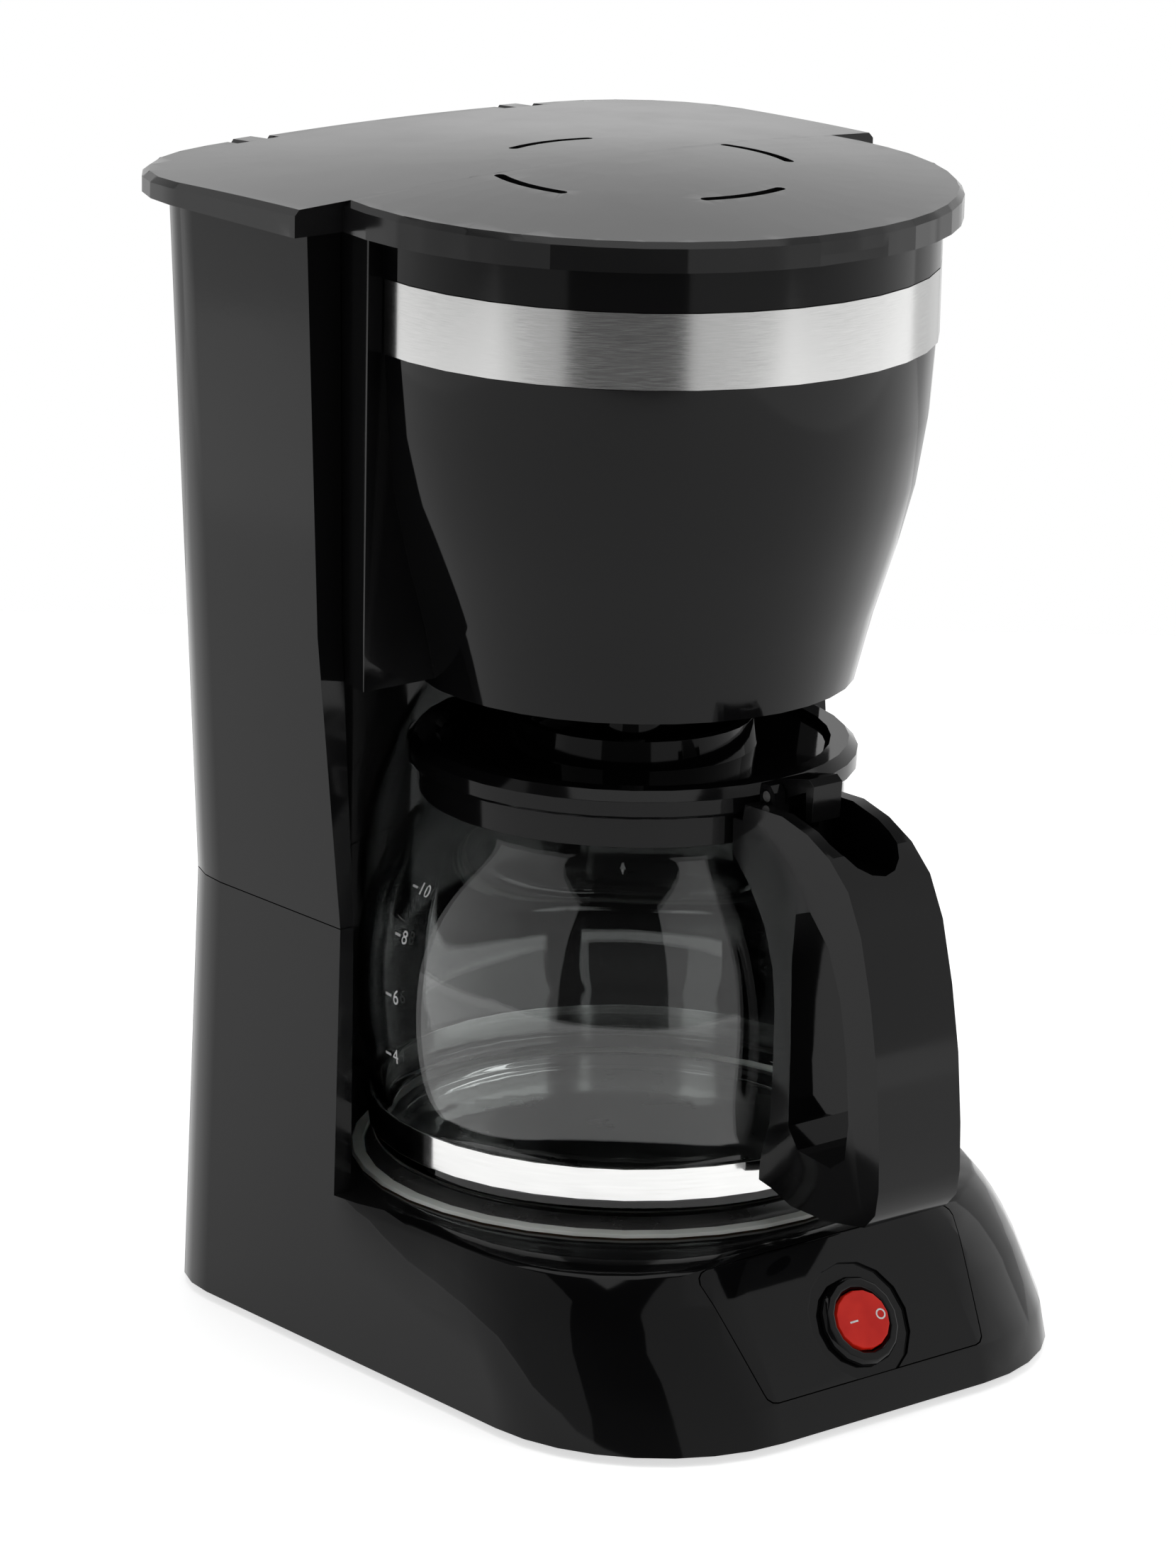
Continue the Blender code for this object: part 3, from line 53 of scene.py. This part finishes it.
# ---------------------------------------------------------------- node helpers
class Finish:
    """A node material that is built step by step."""

    def __init__(self, name, color, roughness, **sockets):
        self.material = bpy.data.materials.new(name)
        self.material.use_nodes = True
        self.nodes = self.material.node_tree.nodes
        self.links = self.material.node_tree.links
        self.shader = self.nodes["Principled BSDF"]
        self.shader.inputs["Base Color"].default_value = (*color, 1.0)
        self.shader.inputs["Roughness"].default_value = roughness
        self.color = color
        for socket, value in sockets.items():
            self.shader.inputs[socket.replace("_", " ")].default_value = value
        self.place = self.nodes.new("ShaderNodeTexCoord").outputs["Object"]

    def noise(self, scale, detail, stretch=(1.0, 1.0, 1.0), rough=0.5):
        """Noise from 0 to 1, scale times a metre; a stretch below 1 draws it out along that axis."""
        mapping = self.nodes.new("ShaderNodeMapping")
        mapping.inputs["Scale"].default_value = stretch
        self.links.new(self.place, mapping.inputs["Vector"])
        noise = self.nodes.new("ShaderNodeTexNoise")
        noise.inputs["Scale"].default_value = scale
        noise.inputs["Detail"].default_value = detail
        noise.inputs["Roughness"].default_value = rough
        self.links.new(mapping.outputs["Vector"], noise.inputs["Vector"])
        return noise.outputs["Fac"]

    def span(self, value, low, high, start=0.3, end=0.7):
        """Maps value from start..end to low..high."""
        fit = self.nodes.new("ShaderNodeMapRange")
        fit.inputs["From Min"].default_value = start
        fit.inputs["From Max"].default_value = end
        fit.inputs["To Min"].default_value = low
        fit.inputs["To Max"].default_value = high
        self.links.new(value, fit.inputs["Value"])
        return fit.outputs["Result"]

    def math(self, operation, first, second):
        """One operation on two values, each a socket or a number."""
        made = self.nodes.new("ShaderNodeMath")
        made.operation = operation
        for socket, value in zip(made.inputs, (first, second)):
            if isinstance(value, (int, float)):
                socket.default_value = value
            else:
                self.links.new(value, socket)
        return made.outputs[0]

    def edges(self):
        """How sharply the surface turns outwards, from 0 on flat stretches to 1 on worn edges."""
        geometry = self.nodes.new("ShaderNodeNewGeometry")
        return self.span(geometry.outputs["Pointiness"], 0.0, 1.0, start=0.52, end=0.60)

    def tint(self, share, other):
        """Mixes another colour into the base colour, by a share from 0 to 1."""
        mix = self.nodes.new("ShaderNodeMix")
        mix.data_type = "RGBA"
        mix.inputs["A"].default_value = (*self.color, 1.0)
        mix.inputs["B"].default_value = (*other, 1.0)
        self.links.new(share, mix.inputs["Factor"])
        self.links.new(mix.outputs["Result"], self.shader.inputs["Base Color"])

    def rough(self, value):
        self.links.new(value, self.shader.inputs["Roughness"])

    def bump(self, *layers):
        """Each layer is a height value from 0 to 1 and its real height in metres."""
        normal = None
        for height, depth in layers:
            bump = self.nodes.new("ShaderNodeBump")
            bump.inputs["Distance"].default_value = depth
            bump.inputs["Strength"].default_value = 1.0
            self.links.new(height, bump.inputs["Height"])
            if normal:
                self.links.new(normal, bump.inputs["Normal"])
            normal = bump.outputs["Normal"]
        self.links.new(normal, self.shader.inputs["Normal"])


# ---------------------------------------------------------------- finishes
# Streaks run level, so the noise is drawn out in X and Y and stays fine in Z.
ALONG_THE_BAND = (0.02, 0.02, 1.0)
ALONG_THE_STRAP = (0.03, 0.03, 1.0)


def gloss_black():
    """High-gloss ABS: faint moulding waves, a few smudges, edges rubbed a little duller."""
    f = Finish("gloss_black_abs", (0.0022, 0.0022, 0.0024), 0.05, Specular_IOR_Level=0.19)
    smudge = f.noise(26, 4)
    wear = f.edges()
    f.tint(f.math("MULTIPLY", wear, 0.4), (0.012, 0.012, 0.012))
    f.rough(f.math("ADD", f.span(smudge, 0.03, 0.085), f.math("MULTIPLY", wear, 0.08)))
    f.bump((f.noise(9, 1), 0.00030), (f.noise(420, 2), 0.0000022))
    return f.material


def lid_black():
    """Fine-grained, half-gloss polypropylene of the lid."""
    f = Finish("satin_black_lid", (0.0035, 0.0035, 0.0037), 0.13, Specular_IOR_Level=0.32)
    cloud = f.noise(34, 4)
    wear = f.edges()
    f.tint(f.math("ADD", f.span(cloud, 0.0, 0.3), f.math("MULTIPLY", wear, 0.6)), (0.009, 0.009, 0.0092))
    f.rough(f.span(cloud, 0.10, 0.17))
    f.bump((f.noise(2600, 2), 0.0000025), (f.noise(9, 1), 0.0002))
    return f.material


def moulded_black():
    """Unpolished black plastic of the inner parts and the underside."""
    f = Finish("moulded_black", (0.013, 0.013, 0.0135), 0.42)
    cloud = f.noise(60, 5)
    wear = f.edges()
    f.tint(f.math("ADD", f.span(cloud, 0.0, 0.5), f.math("MULTIPLY", wear, 0.5)), (0.034, 0.034, 0.034))
    f.rough(f.span(cloud, 0.34, 0.52))
    f.bump((f.noise(1500, 3), 0.000025))
    return f.material


def rubber():
    """Soft black rubber of the feet, the inlet bush and the riser's collar."""
    f = Finish("black_rubber", (0.02, 0.02, 0.02), 0.75)
    cloud = f.noise(120, 5)
    f.tint(cloud, (0.045, 0.044, 0.042))
    f.rough(f.span(cloud, 0.62, 0.85))
    f.bump((f.noise(2200, 3), 0.00004))
    return f.material


def silicone():
    """Pale moulded silicone of the seals and hoses."""
    f = Finish("pale_silicone", (0.62, 0.60, 0.56), 0.40, Subsurface_Weight=0.15)
    cloud = f.noise(90, 4)
    f.tint(f.span(cloud, 0.0, 1.0), (0.50, 0.48, 0.44))
    f.rough(f.span(cloud, 0.32, 0.5))
    f.bump((f.noise(900, 2), 0.00002))
    return f.material


def brushed_steel():
    """Stainless steel of the band, screws and pins, brushed level, with a few deeper scratches."""
    f = Finish("brushed_band_steel", (0.50, 0.50, 0.495), 0.18, Metallic=1.0)
    streak = f.noise(9000, 3, ALONG_THE_BAND, 0.6)
    scratch = f.noise(3500, 2, ALONG_THE_BAND)
    f.tint(f.span(streak, 0.0, 0.6), (0.58, 0.58, 0.575))
    f.rough(f.span(streak, 0.13, 0.24))
    f.bump((streak, 0.0000005), (scratch, 0.0000005))
    return f.material


def polished_steel():
    """Polished steel of the carafe's strap and the valve's spring, with level scratches and a little haze."""
    f = Finish("polished_strap_steel", (0.80, 0.80, 0.79), 0.10, Metallic=1.0)
    haze = f.noise(70, 4)
    scratch = f.noise(2500, 3, ALONG_THE_STRAP)
    f.tint(f.span(scratch, 0.0, 0.6), (0.66, 0.66, 0.655))
    f.rough(f.span(haze, 0.07, 0.17))
    f.bump((scratch, 0.0000015))
    return f.material


def cast_aluminium():
    """Rough grey casting of the heater and the thermostat's case."""
    f = Finish("cast_aluminium", (0.58, 0.58, 0.59), 0.42, Metallic=1.0)
    grain = f.noise(700, 5)
    f.tint(grain, (0.42, 0.42, 0.43))
    f.rough(f.span(grain, 0.35, 0.6))
    f.bump((grain, 0.00012))
    return f.material


def plate_coating():
    """Dark non-stick coat with faint rub marks."""
    f = Finish("plate_coating", (0.016, 0.016, 0.017), 0.30)
    rub = f.noise(45, 5)
    wear = f.edges()
    f.tint(f.math("ADD", f.span(rub, 0.0, 0.4), wear), (0.075, 0.073, 0.07))
    f.rough(f.span(rub, 0.22, 0.42))
    f.bump((f.noise(1800, 3), 0.00001))
    return f.material


def clear_glass():
    """Borosilicate glass, slightly uneven from blowing."""
    f = Finish("clear_carafe_glass", (0.97, 0.985, 0.98), 0.0, IOR=1.45)
    f.shader.inputs["Transmission Weight"].default_value = 1.0
    f.tint(f.span(f.noise(20, 2), 0.0, 1.0), (0.955, 0.975, 0.97))
    f.rough(f.span(f.noise(30, 3), 0.0, 0.02))
    f.bump((f.noise(22, 1.5), 0.00025))
    return f.material


def red_lens():
    """Translucent red rocker, glowing from the lamp inside."""
    f = Finish("red_rocker_lens", (0.40, 0.006, 0.004), 0.16, Specular_IOR_Level=0.22)
    glow = f.noise(140, 2)
    f.tint(f.span(glow, 0.0, 1.0), (0.52, 0.016, 0.009))
    f.rough(f.span(f.noise(500, 3), 0.12, 0.24))
    f.bump((f.noise(1200, 2), 0.000008))
    f.shader.inputs["Emission Color"].default_value = (1.0, 0.030, 0.010, 1.0)
    f.shader.inputs["Emission Strength"].default_value = 0.10
    return f.material


def white_print():
    """Screen-printed ink with slightly uneven cover."""
    f = Finish("white_print", (0.80, 0.80, 0.79), 0.45)
    cover = f.noise(3500, 3)
    f.tint(f.span(cover, 0.0, 1.0), (0.58, 0.58, 0.58))
    f.rough(f.span(cover, 0.38, 0.6))
    f.bump((cover, 0.000012))
    return f.material


def studio_floor():
    """Pale floor that glows a little, so that it stays white under the object."""
    f = Finish("studio_floor", (0.93, 0.93, 0.93), 0.6)
    f.tint(f.span(f.noise(3, 2), 0.0, 0.2), (0.90, 0.90, 0.90))
    f.shader.inputs["Emission Color"].default_value = (1.0, 1.0, 1.0, 1.0)
    f.shader.inputs["Emission Strength"].default_value = 0.62
    return f.material


FINISHES = {
    "gloss_black": gloss_black(),
    "satin_black": moulded_black(),
    "dark_rubber": rubber(),
    "pale_silicone": silicone(),
    "brushed_steel": brushed_steel(),
    "polished_steel": polished_steel(),
    "cast_aluminium": cast_aluminium(),
    "plate_coating": plate_coating(),
    "clear_glass": clear_glass(),
    "red_lens": red_lens(),
}
LID_FINISH = lid_black()
GLOSS = FINISHES["gloss_black"]
WHITE = white_print()


# ---------------------------------------------------------------- modelling helpers
WELD_GAP = 2e-6                   # triangles' corners that are closer than this are one corner
FLAT_ENOUGH = math.radians(0.3)   # faces that meet within this angle become one
LARGE_FACES_LEAD = 90             # how much a large flat face sets the shading next to its edges


def deselect():
    if bpy.context.mode != "OBJECT":
        bpy.ops.object.mode_set(mode="OBJECT")
    bpy.ops.object.select_all(action="DESELECT")


def choose(piece):
    deselect()
    piece.select_set(True)
    bpy.context.view_layer.objects.active = piece


def settle(piece):
    """Puts the piece's place into its mesh."""
    choose(piece)
    bpy.ops.object.transform_apply(location=True, rotation=True, scale=True)


def apply_all(piece):
    choose(piece)
    for modifier in list(piece.modifiers):
        bpy.ops.object.modifier_apply(modifier=modifier.name)


def dress(piece, finish, body):
    """Gives a piece its finish and the body that it moves with."""
    piece.data.materials.clear()
    piece.data.materials.append(finish)
    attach(piece, body)


def weld(piece, turned):
    """Joins the loose triangles: into quads on a turned piece, and into flat faces on a moulded one."""
    choose(piece)
    bpy.ops.mesh.customdata_custom_splitnormals_clear()
    bpy.ops.object.mode_set(mode="EDIT")
    bpy.ops.mesh.select_all(action="SELECT")
    bpy.ops.mesh.remove_doubles(threshold=WELD_GAP)
    if turned:
        bpy.ops.mesh.tris_convert_to_quads(face_threshold=math.radians(30), shape_threshold=math.radians(60))
    else:
        bpy.ops.mesh.dissolve_limited(angle_limit=FLAT_ENOUGH)
    bpy.ops.mesh.select_all(action="DESELECT")
    bpy.ops.object.mode_set(mode="OBJECT")


def shell(node, finish=None, smooth=35, edge=0.4 * MM, round_off=0, refine=None):
    """A finer copy of a moulded or turned piece: welded, its sharp edges rounded, its curves smooth.

    smooth is the angle in degrees past which an edge counts as sharp, edge the radius given to such an
    edge, round_off the subdivisions of a turned piece, and refine a function that reshapes the copy.
    """
    slot = SLOT_OF[node]
    piece = bpy.data.objects.new(node + "_shell", frame["nodes"][node].data.copy())
    bpy.context.scene.collection.objects.link(piece)
    weld(piece, turned=round_off > 0)
    if refine:
        refine(piece)
    if edge:
        bevel = piece.modifiers.new("edge", "BEVEL")
        bevel.width = edge
        bevel.segments = 2
        bevel.limit_method = "ANGLE"
        bevel.angle_limit = math.radians(smooth)
    if round_off:
        rounder = piece.modifiers.new("round", "SUBSURF")
        rounder.levels = rounder.render_levels = round_off
    apply_all(piece)
    bpy.ops.object.shade_smooth_by_angle(angle=math.radians(smooth))
    if edge and not round_off:
        even = piece.modifiers.new("even", "WEIGHTED_NORMAL")
        even.keep_sharp = True
        even.weight = LARGE_FACES_LEAD
        apply_all(piece)
    dress(piece, finish or FINISHES[slot], BODY_OF[node])
    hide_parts(node)
    return piece


OFF_THE_MIDDLE = 0.37             # share of a step, so that no cut falls on the middle plane


def slice_both_ways(piece, step, reach):
    """Cuts a piece's faces along a grid, so that a crowned surface can be followed closely."""
    choose(piece)
    bpy.ops.object.mode_set(mode="EDIT")
    count = round(reach / step)
    for normal in ((1, 0, 0), (0, 1, 0)):
        for k in range(-count, count + 1):
            bpy.ops.mesh.select_all(action="SELECT")
            place = [(k + OFF_THE_MIDDLE) * step * n for n in normal]
            bpy.ops.mesh.bisect(plane_co=place, plane_no=normal, threshold=1e-6)
    bpy.ops.object.mode_set(mode="OBJECT")


def paint_hidden_nodes():
    """Pieces that stay as they are still get their finish."""
    for name, node in frame["nodes"].items():
        node.data.materials.clear()
        node.data.materials.append(FINISHES[SLOT_OF[name]])


# ---------------------------------------------------------------- camera and studio
UP = Vector((0, 0, 1))
AZIMUTH = math.radians(40.2)      # the camera stands front left of the object
PITCH = math.radians(16.07)       # and looks down by this much
ROLL = math.radians(1.21)
CAMERA_AT = Vector((-1.10887, -1.29389, 0.642))
LENS = 149.2                      # in millimetres, on a sensor 36 wide
LEVEL_RIGHT = Vector((math.cos(AZIMUTH), -math.sin(AZIMUTH), 0))
LEVEL_BACK = Vector((-math.sin(AZIMUTH), -math.cos(AZIMUTH), 0))     # from the object to the camera

WALL_REACH = 1.3                  # the light walls' edges stand this far from the object
WALL_LOW, WALL_HIGH = -0.8, 1.5
LEFT_WALL = (-28, -125, 0.50)     # bearings of its two edges in degrees, and its radiance
RIGHT_WALL = (17, 125, 0.66)
TOP_LIGHT_SIZE = 1.6
TOP_LIGHT_HEIGHT = 2.0
TOP_LIGHT_RADIANCE = 1.6
FLOOR_ACROSS = 2.6
FLOOR_FRONT, FLOOR_BEHIND = 0.85, 0.75


def camera_axes():
    ahead = -math.cos(PITCH) * LEVEL_BACK - math.sin(PITCH) * UP
    right = LEVEL_RIGHT
    up = right.cross(ahead)
    side = math.cos(ROLL) * right + math.sin(ROLL) * up
    top = -math.sin(ROLL) * right + math.cos(ROLL) * up
    return side, top, -ahead


def make_camera():
    data = bpy.data.cameras.new("camera")
    data.lens = LENS
    data.sensor_width = 36
    data.clip_start = 0.05
    data.clip_end = 50
    camera = bpy.data.objects.new("camera", data)
    bpy.context.scene.collection.objects.link(camera)
    side, top, back = camera_axes()
    turn = Matrix((side, top, back)).transposed().to_4x4()
    camera.matrix_world = Matrix.Translation(CAMERA_AT) @ turn
    bpy.context.scene.camera = camera


def bearing(degrees):
    """Level direction from the object, turned from the camera's own bearing; positive is camera right."""
    angle = math.radians(degrees)
    return math.cos(angle) * LEVEL_BACK + math.sin(angle) * LEVEL_RIGHT


def softbox(name, width, height, radiance, placement):
    """A rectangular light that shines along its own -Z."""
    data = bpy.data.lights.new(name, "AREA")
    data.shape = "RECTANGLE"
    data.size = width
    data.size_y = height
    data.energy = radiance * math.pi * width * height
    lamp = bpy.data.objects.new(name, data)
    bpy.context.scene.collection.objects.link(lamp)
    lamp.matrix_world = placement


def light_wall(name, start_bearing, end_bearing, radiance):
    """An upright light wall between two bearings, facing the object."""
    start = bearing(start_bearing) * WALL_REACH
    end = bearing(end_bearing) * WALL_REACH
    centre = (start + end) / 2
    out = centre.normalized()
    centre += UP * (WALL_LOW + WALL_HIGH) / 2
    turn = Matrix((UP.cross(out), UP, out)).transposed().to_4x4()
    placement = Matrix.Translation(centre) @ turn
    softbox(name, (end - start).length, WALL_HIGH - WALL_LOW, radiance, placement)


def make_floor():
    middle = LEVEL_BACK * (FLOOR_FRONT - FLOOR_BEHIND) / 2
    bpy.ops.mesh.primitive_plane_add(size=1, location=middle, rotation=(0, 0, -AZIMUTH))
    floor = bpy.context.object
    floor.scale = (FLOOR_ACROSS, FLOOR_FRONT + FLOOR_BEHIND, 1)
    settle(floor)
    floor.name = "floor"
    floor.data.materials.append(studio_floor())


def make_studio():
    light_wall("left_wall", *LEFT_WALL)
    light_wall("right_wall", *RIGHT_WALL)
    above = Matrix.Translation(UP * TOP_LIGHT_HEIGHT)
    softbox("top_light", TOP_LIGHT_SIZE, TOP_LIGHT_SIZE, TOP_LIGHT_RADIANCE, above)
    make_floor()


def make_world():
    """White behind the object, dark behind the camera, and white wherever the camera looks."""
    world = bpy.data.worlds.new("studio")
    world.use_nodes = True
    nodes = world.node_tree.nodes
    links = world.node_tree.links
    direction = nodes.new("ShaderNodeTexCoord").outputs["Generated"]

    def along(axis):
        dot = nodes.new("ShaderNodeVectorMath")
        dot.operation = "DOT_PRODUCT"
        dot.inputs[1].default_value = axis
        links.new(direction, dot.inputs[0])
        return dot.outputs["Value"]

    def ramp(value, start, end, low, high):
        fit = nodes.new("ShaderNodeMapRange")
        fit.inputs["From Min"].default_value = start
        fit.inputs["From Max"].default_value = end
        fit.inputs["To Min"].default_value = low
        fit.inputs["To Max"].default_value = high
        links.new(value, fit.inputs["Value"])
        return fit.outputs["Result"]

    def both(operation, first, second):
        made = nodes.new("ShaderNodeMath")
        made.operation = operation
        links.new(first, made.inputs[0])
        links.new(second, made.inputs[1])
        return made.outputs[0]

    from_behind = ramp(along(-LEVEL_BACK), start=-0.5, end=0.6, low=0.10, high=0.85)
    towards_top = ramp(along(UP), start=0.30, end=0.75, low=1.0, high=0.25)
    glow = both("MULTIPLY", from_behind, towards_top)
    seen = nodes.new("ShaderNodeLightPath").outputs["Is Camera Ray"]
    background = nodes["Background"]
    background.inputs["Color"].default_value = (1, 1, 1, 1)
    links.new(both("MAXIMUM", glow, seen), background.inputs["Strength"])
    bpy.context.scene.world = world
    bpy.context.scene.view_settings.view_transform = "Standard"


# ---------------------------------------------------------------- the object
LID_DOME_Y = 12 * MM              # middle of the lid's crown, behind the brewing axis
LID_DOME_R = 106 * MM             # where the crown comes down to the edge's level
LID_CROWN = 5.5 * MM              # its height above that level
LID_FLARE = 0.5                   # how much flatter the crown runs out than a parabola
LID_GRID = 7 * MM                 # spacing of the cuts that let the lid's top follow the crown
LID_REACH = 120 * MM              # how far the cuts go from the middle
LID_TOP_BAND = 0.35 * MM          # corners this close to the crown belong to the top


def crown_the_lid(piece):
    """Brings the lid's top onto one smooth crown."""
    slice_both_ways(piece, LID_GRID, LID_REACH)
    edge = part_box("lid")[1].z - LID_CROWN
    for vertex in piece.data.vertices:
        x, y, z = vertex.co
        share = (x ** 2 + (y - LID_DOME_Y) ** 2) / LID_DOME_R ** 2
        crown = edge + LID_CROWN * (1 - share) / (1 + LID_FLARE * share)
        if abs(z - crown) < LID_TOP_BAND:
            vertex.co.z = crown


def make_shells():
    """Finer copies of all that shows, from the housings in to the carafe."""
    for node in ("base_housing", "tank_housing", "brew_head", "control_panel"):
        shell(node)
    shell("carafe_handle", edge=0.8 * MM)
    shell("lid", LID_FINISH, edge=0.5 * MM, refine=crown_the_lid)
    for node in ("switch_housing", "carafe_collar", "carafe_lid"):
        shell(node, GLOSS)
    for node in ("bottom_cover", "filter_basket"):
        shell(node)
    shell("steel_band", edge=0)
    print_switch_marks(shell("switch_rocker", edge=0.3 * MM))
    for node in ("carafe_strap", "warming_plate", "plate_seal"):
        shell(node, edge=0.15 * MM)
    print_cup_marks(shell("carafe_glass", edge=0.5 * MM, smooth=60, round_off=2))


# ---------------------------------------------------------------- printed marks
CUP_MARKS = {"4": 0.085, "6": 0.102, "8": 0.1195, "10": 0.1365}    # cups and the height of each mark
CUP_BEARING = math.radians(98)      # on the carafe's left side
DIGIT_HEIGHT = 6.0 * MM
MARK_START = 0.5 * MM               # marks start this far off the glass before they are laid on it
TICK_LENGTH = 3.0 * MM
TICK_WIDTH = 0.7 * MM
TICK_X = -2.4 * MM                  # middle of the tick, left of its number
GLASS_PRINT = 0.12 * MM             # how far the print stands off the glass
LENS_PRINT = 0.06 * MM              # and off the rocker
MARK_RISE = 3.6 * MM                # the switch marks start this far out from the rocker's pivot
ON_BAR = (2.6 * MM, 0.5 * MM)       # length and width
ON_X = -3.5 * MM
OFF_RING = (1.5 * MM, 1.05 * MM)    # outer and inner radius
OFF_X = 5.3 * MM


def facing(point, outward, up):
    """Placement of a flat mark: its X to the reader's right, its Y up, its Z outwards."""
    right = up.cross(outward).normalized()
    up = outward.cross(right)
    return Matrix.Translation(point) @ Matrix((right, up, outward)).transposed().to_4x4()


def lay_on(mark, target, above):
    """Lays a flat mark on a curved surface, a little above it."""
    choose(mark)
    wrap = mark.modifiers.new("wrap", "SHRINKWRAP")
    wrap.target = target
    wrap.wrap_method = "NEAREST_SURFACEPOINT"
    wrap.wrap_mode = "ABOVE_SURFACE"
    wrap.offset = above
    bpy.ops.object.modifier_apply(modifier=wrap.name)


def digits(label):
    """A number as a flat mesh, in the XY plane."""
    bpy.ops.object.text_add(location=(0, 0, 0))
    text = bpy.context.object
    text.data.body = label
    text.data.size = DIGIT_HEIGHT
    text.data.align_y = "CENTER"
    bpy.ops.object.convert(target="MESH")
    return bpy.context.object


def bar(width, height, x=0.0):
    """A flat bar in the XY plane, cut into a grid so that it can follow a curved surface."""
    bpy.ops.mesh.primitive_grid_add(x_subdivisions=8, y_subdivisions=2, size=1, location=(0, 0, 0))
    made = bpy.context.object
    made.scale = (width, height, 1)
    settle(made)
    bpy.ops.object.mode_set(mode="EDIT")
    bpy.ops.mesh.select_all(action="SELECT")
    bpy.ops.transform.translate(value=(x, 0, 0))
    bpy.ops.mesh.select_all(action="DESELECT")
    bpy.ops.object.mode_set(mode="OBJECT")
    return made


def ring(outer, inner):
    """A flat ring in the XY plane."""
    bpy.ops.mesh.primitive_circle_add(vertices=40, radius=outer, fill_type="NGON", location=(0, 0, 0))
    made = bpy.context.object
    bpy.ops.object.mode_set(mode="EDIT")
    bpy.ops.mesh.select_all(action="SELECT")
    bpy.ops.mesh.inset(thickness=outer - inner, depth=0)
    bpy.ops.mesh.delete(type="FACE")
    bpy.ops.object.mode_set(mode="OBJECT")
    return made


def join(first, second):
    """Makes the second mark part of the first."""
    choose(first)
    second.select_set(True)
    bpy.ops.object.join()


def print_mark(mark, name, placement, target, above, body):
    """Carries a mark to its place, lays it on the piece under it and inks it."""
    mark.name = name
    mark.matrix_world = placement
    settle(mark)
    lay_on(mark, target, above)
    dress(mark, WHITE, body)


def print_cup_marks(glass):
    low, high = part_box("carafe_glass")
    outward = Vector((-math.sin(CUP_BEARING), -math.cos(CUP_BEARING), 0))
    rim = outward * ((high.x - low.x) / 2 + MARK_START)
    for label, height in CUP_MARKS.items():
        tick = bar(TICK_LENGTH, TICK_WIDTH, TICK_X)
        mark = digits(label)
        join(mark, tick)
        placement = facing(rim + UP * height, outward, UP)
        print_mark(mark, "cup_mark_" + label, placement, glass, GLASS_PRINT, "carafe")


def print_switch_marks(rocker):
    joint = next(j for j in frame["joints"] if j["name"] == "rocker_tilt")
    across = Vector((1, 0, 0))
    slope = Vector(joint["axis"]).normalized()
    outward = across.cross(slope)
    middle = Vector(joint["pos_m"]) + outward * MARK_RISE
    marks = {"switch_on_mark": (bar(*ON_BAR), ON_X), "switch_off_mark": (ring(*OFF_RING), OFF_X)}
    for name, (mark, x) in marks.items():
        placement = facing(middle + across * x, outward, slope)
        print_mark(mark, name, placement, rocker, LENS_PRINT, "rocker")


paint_hidden_nodes()
make_camera()
make_world()
make_studio()
make_shells()
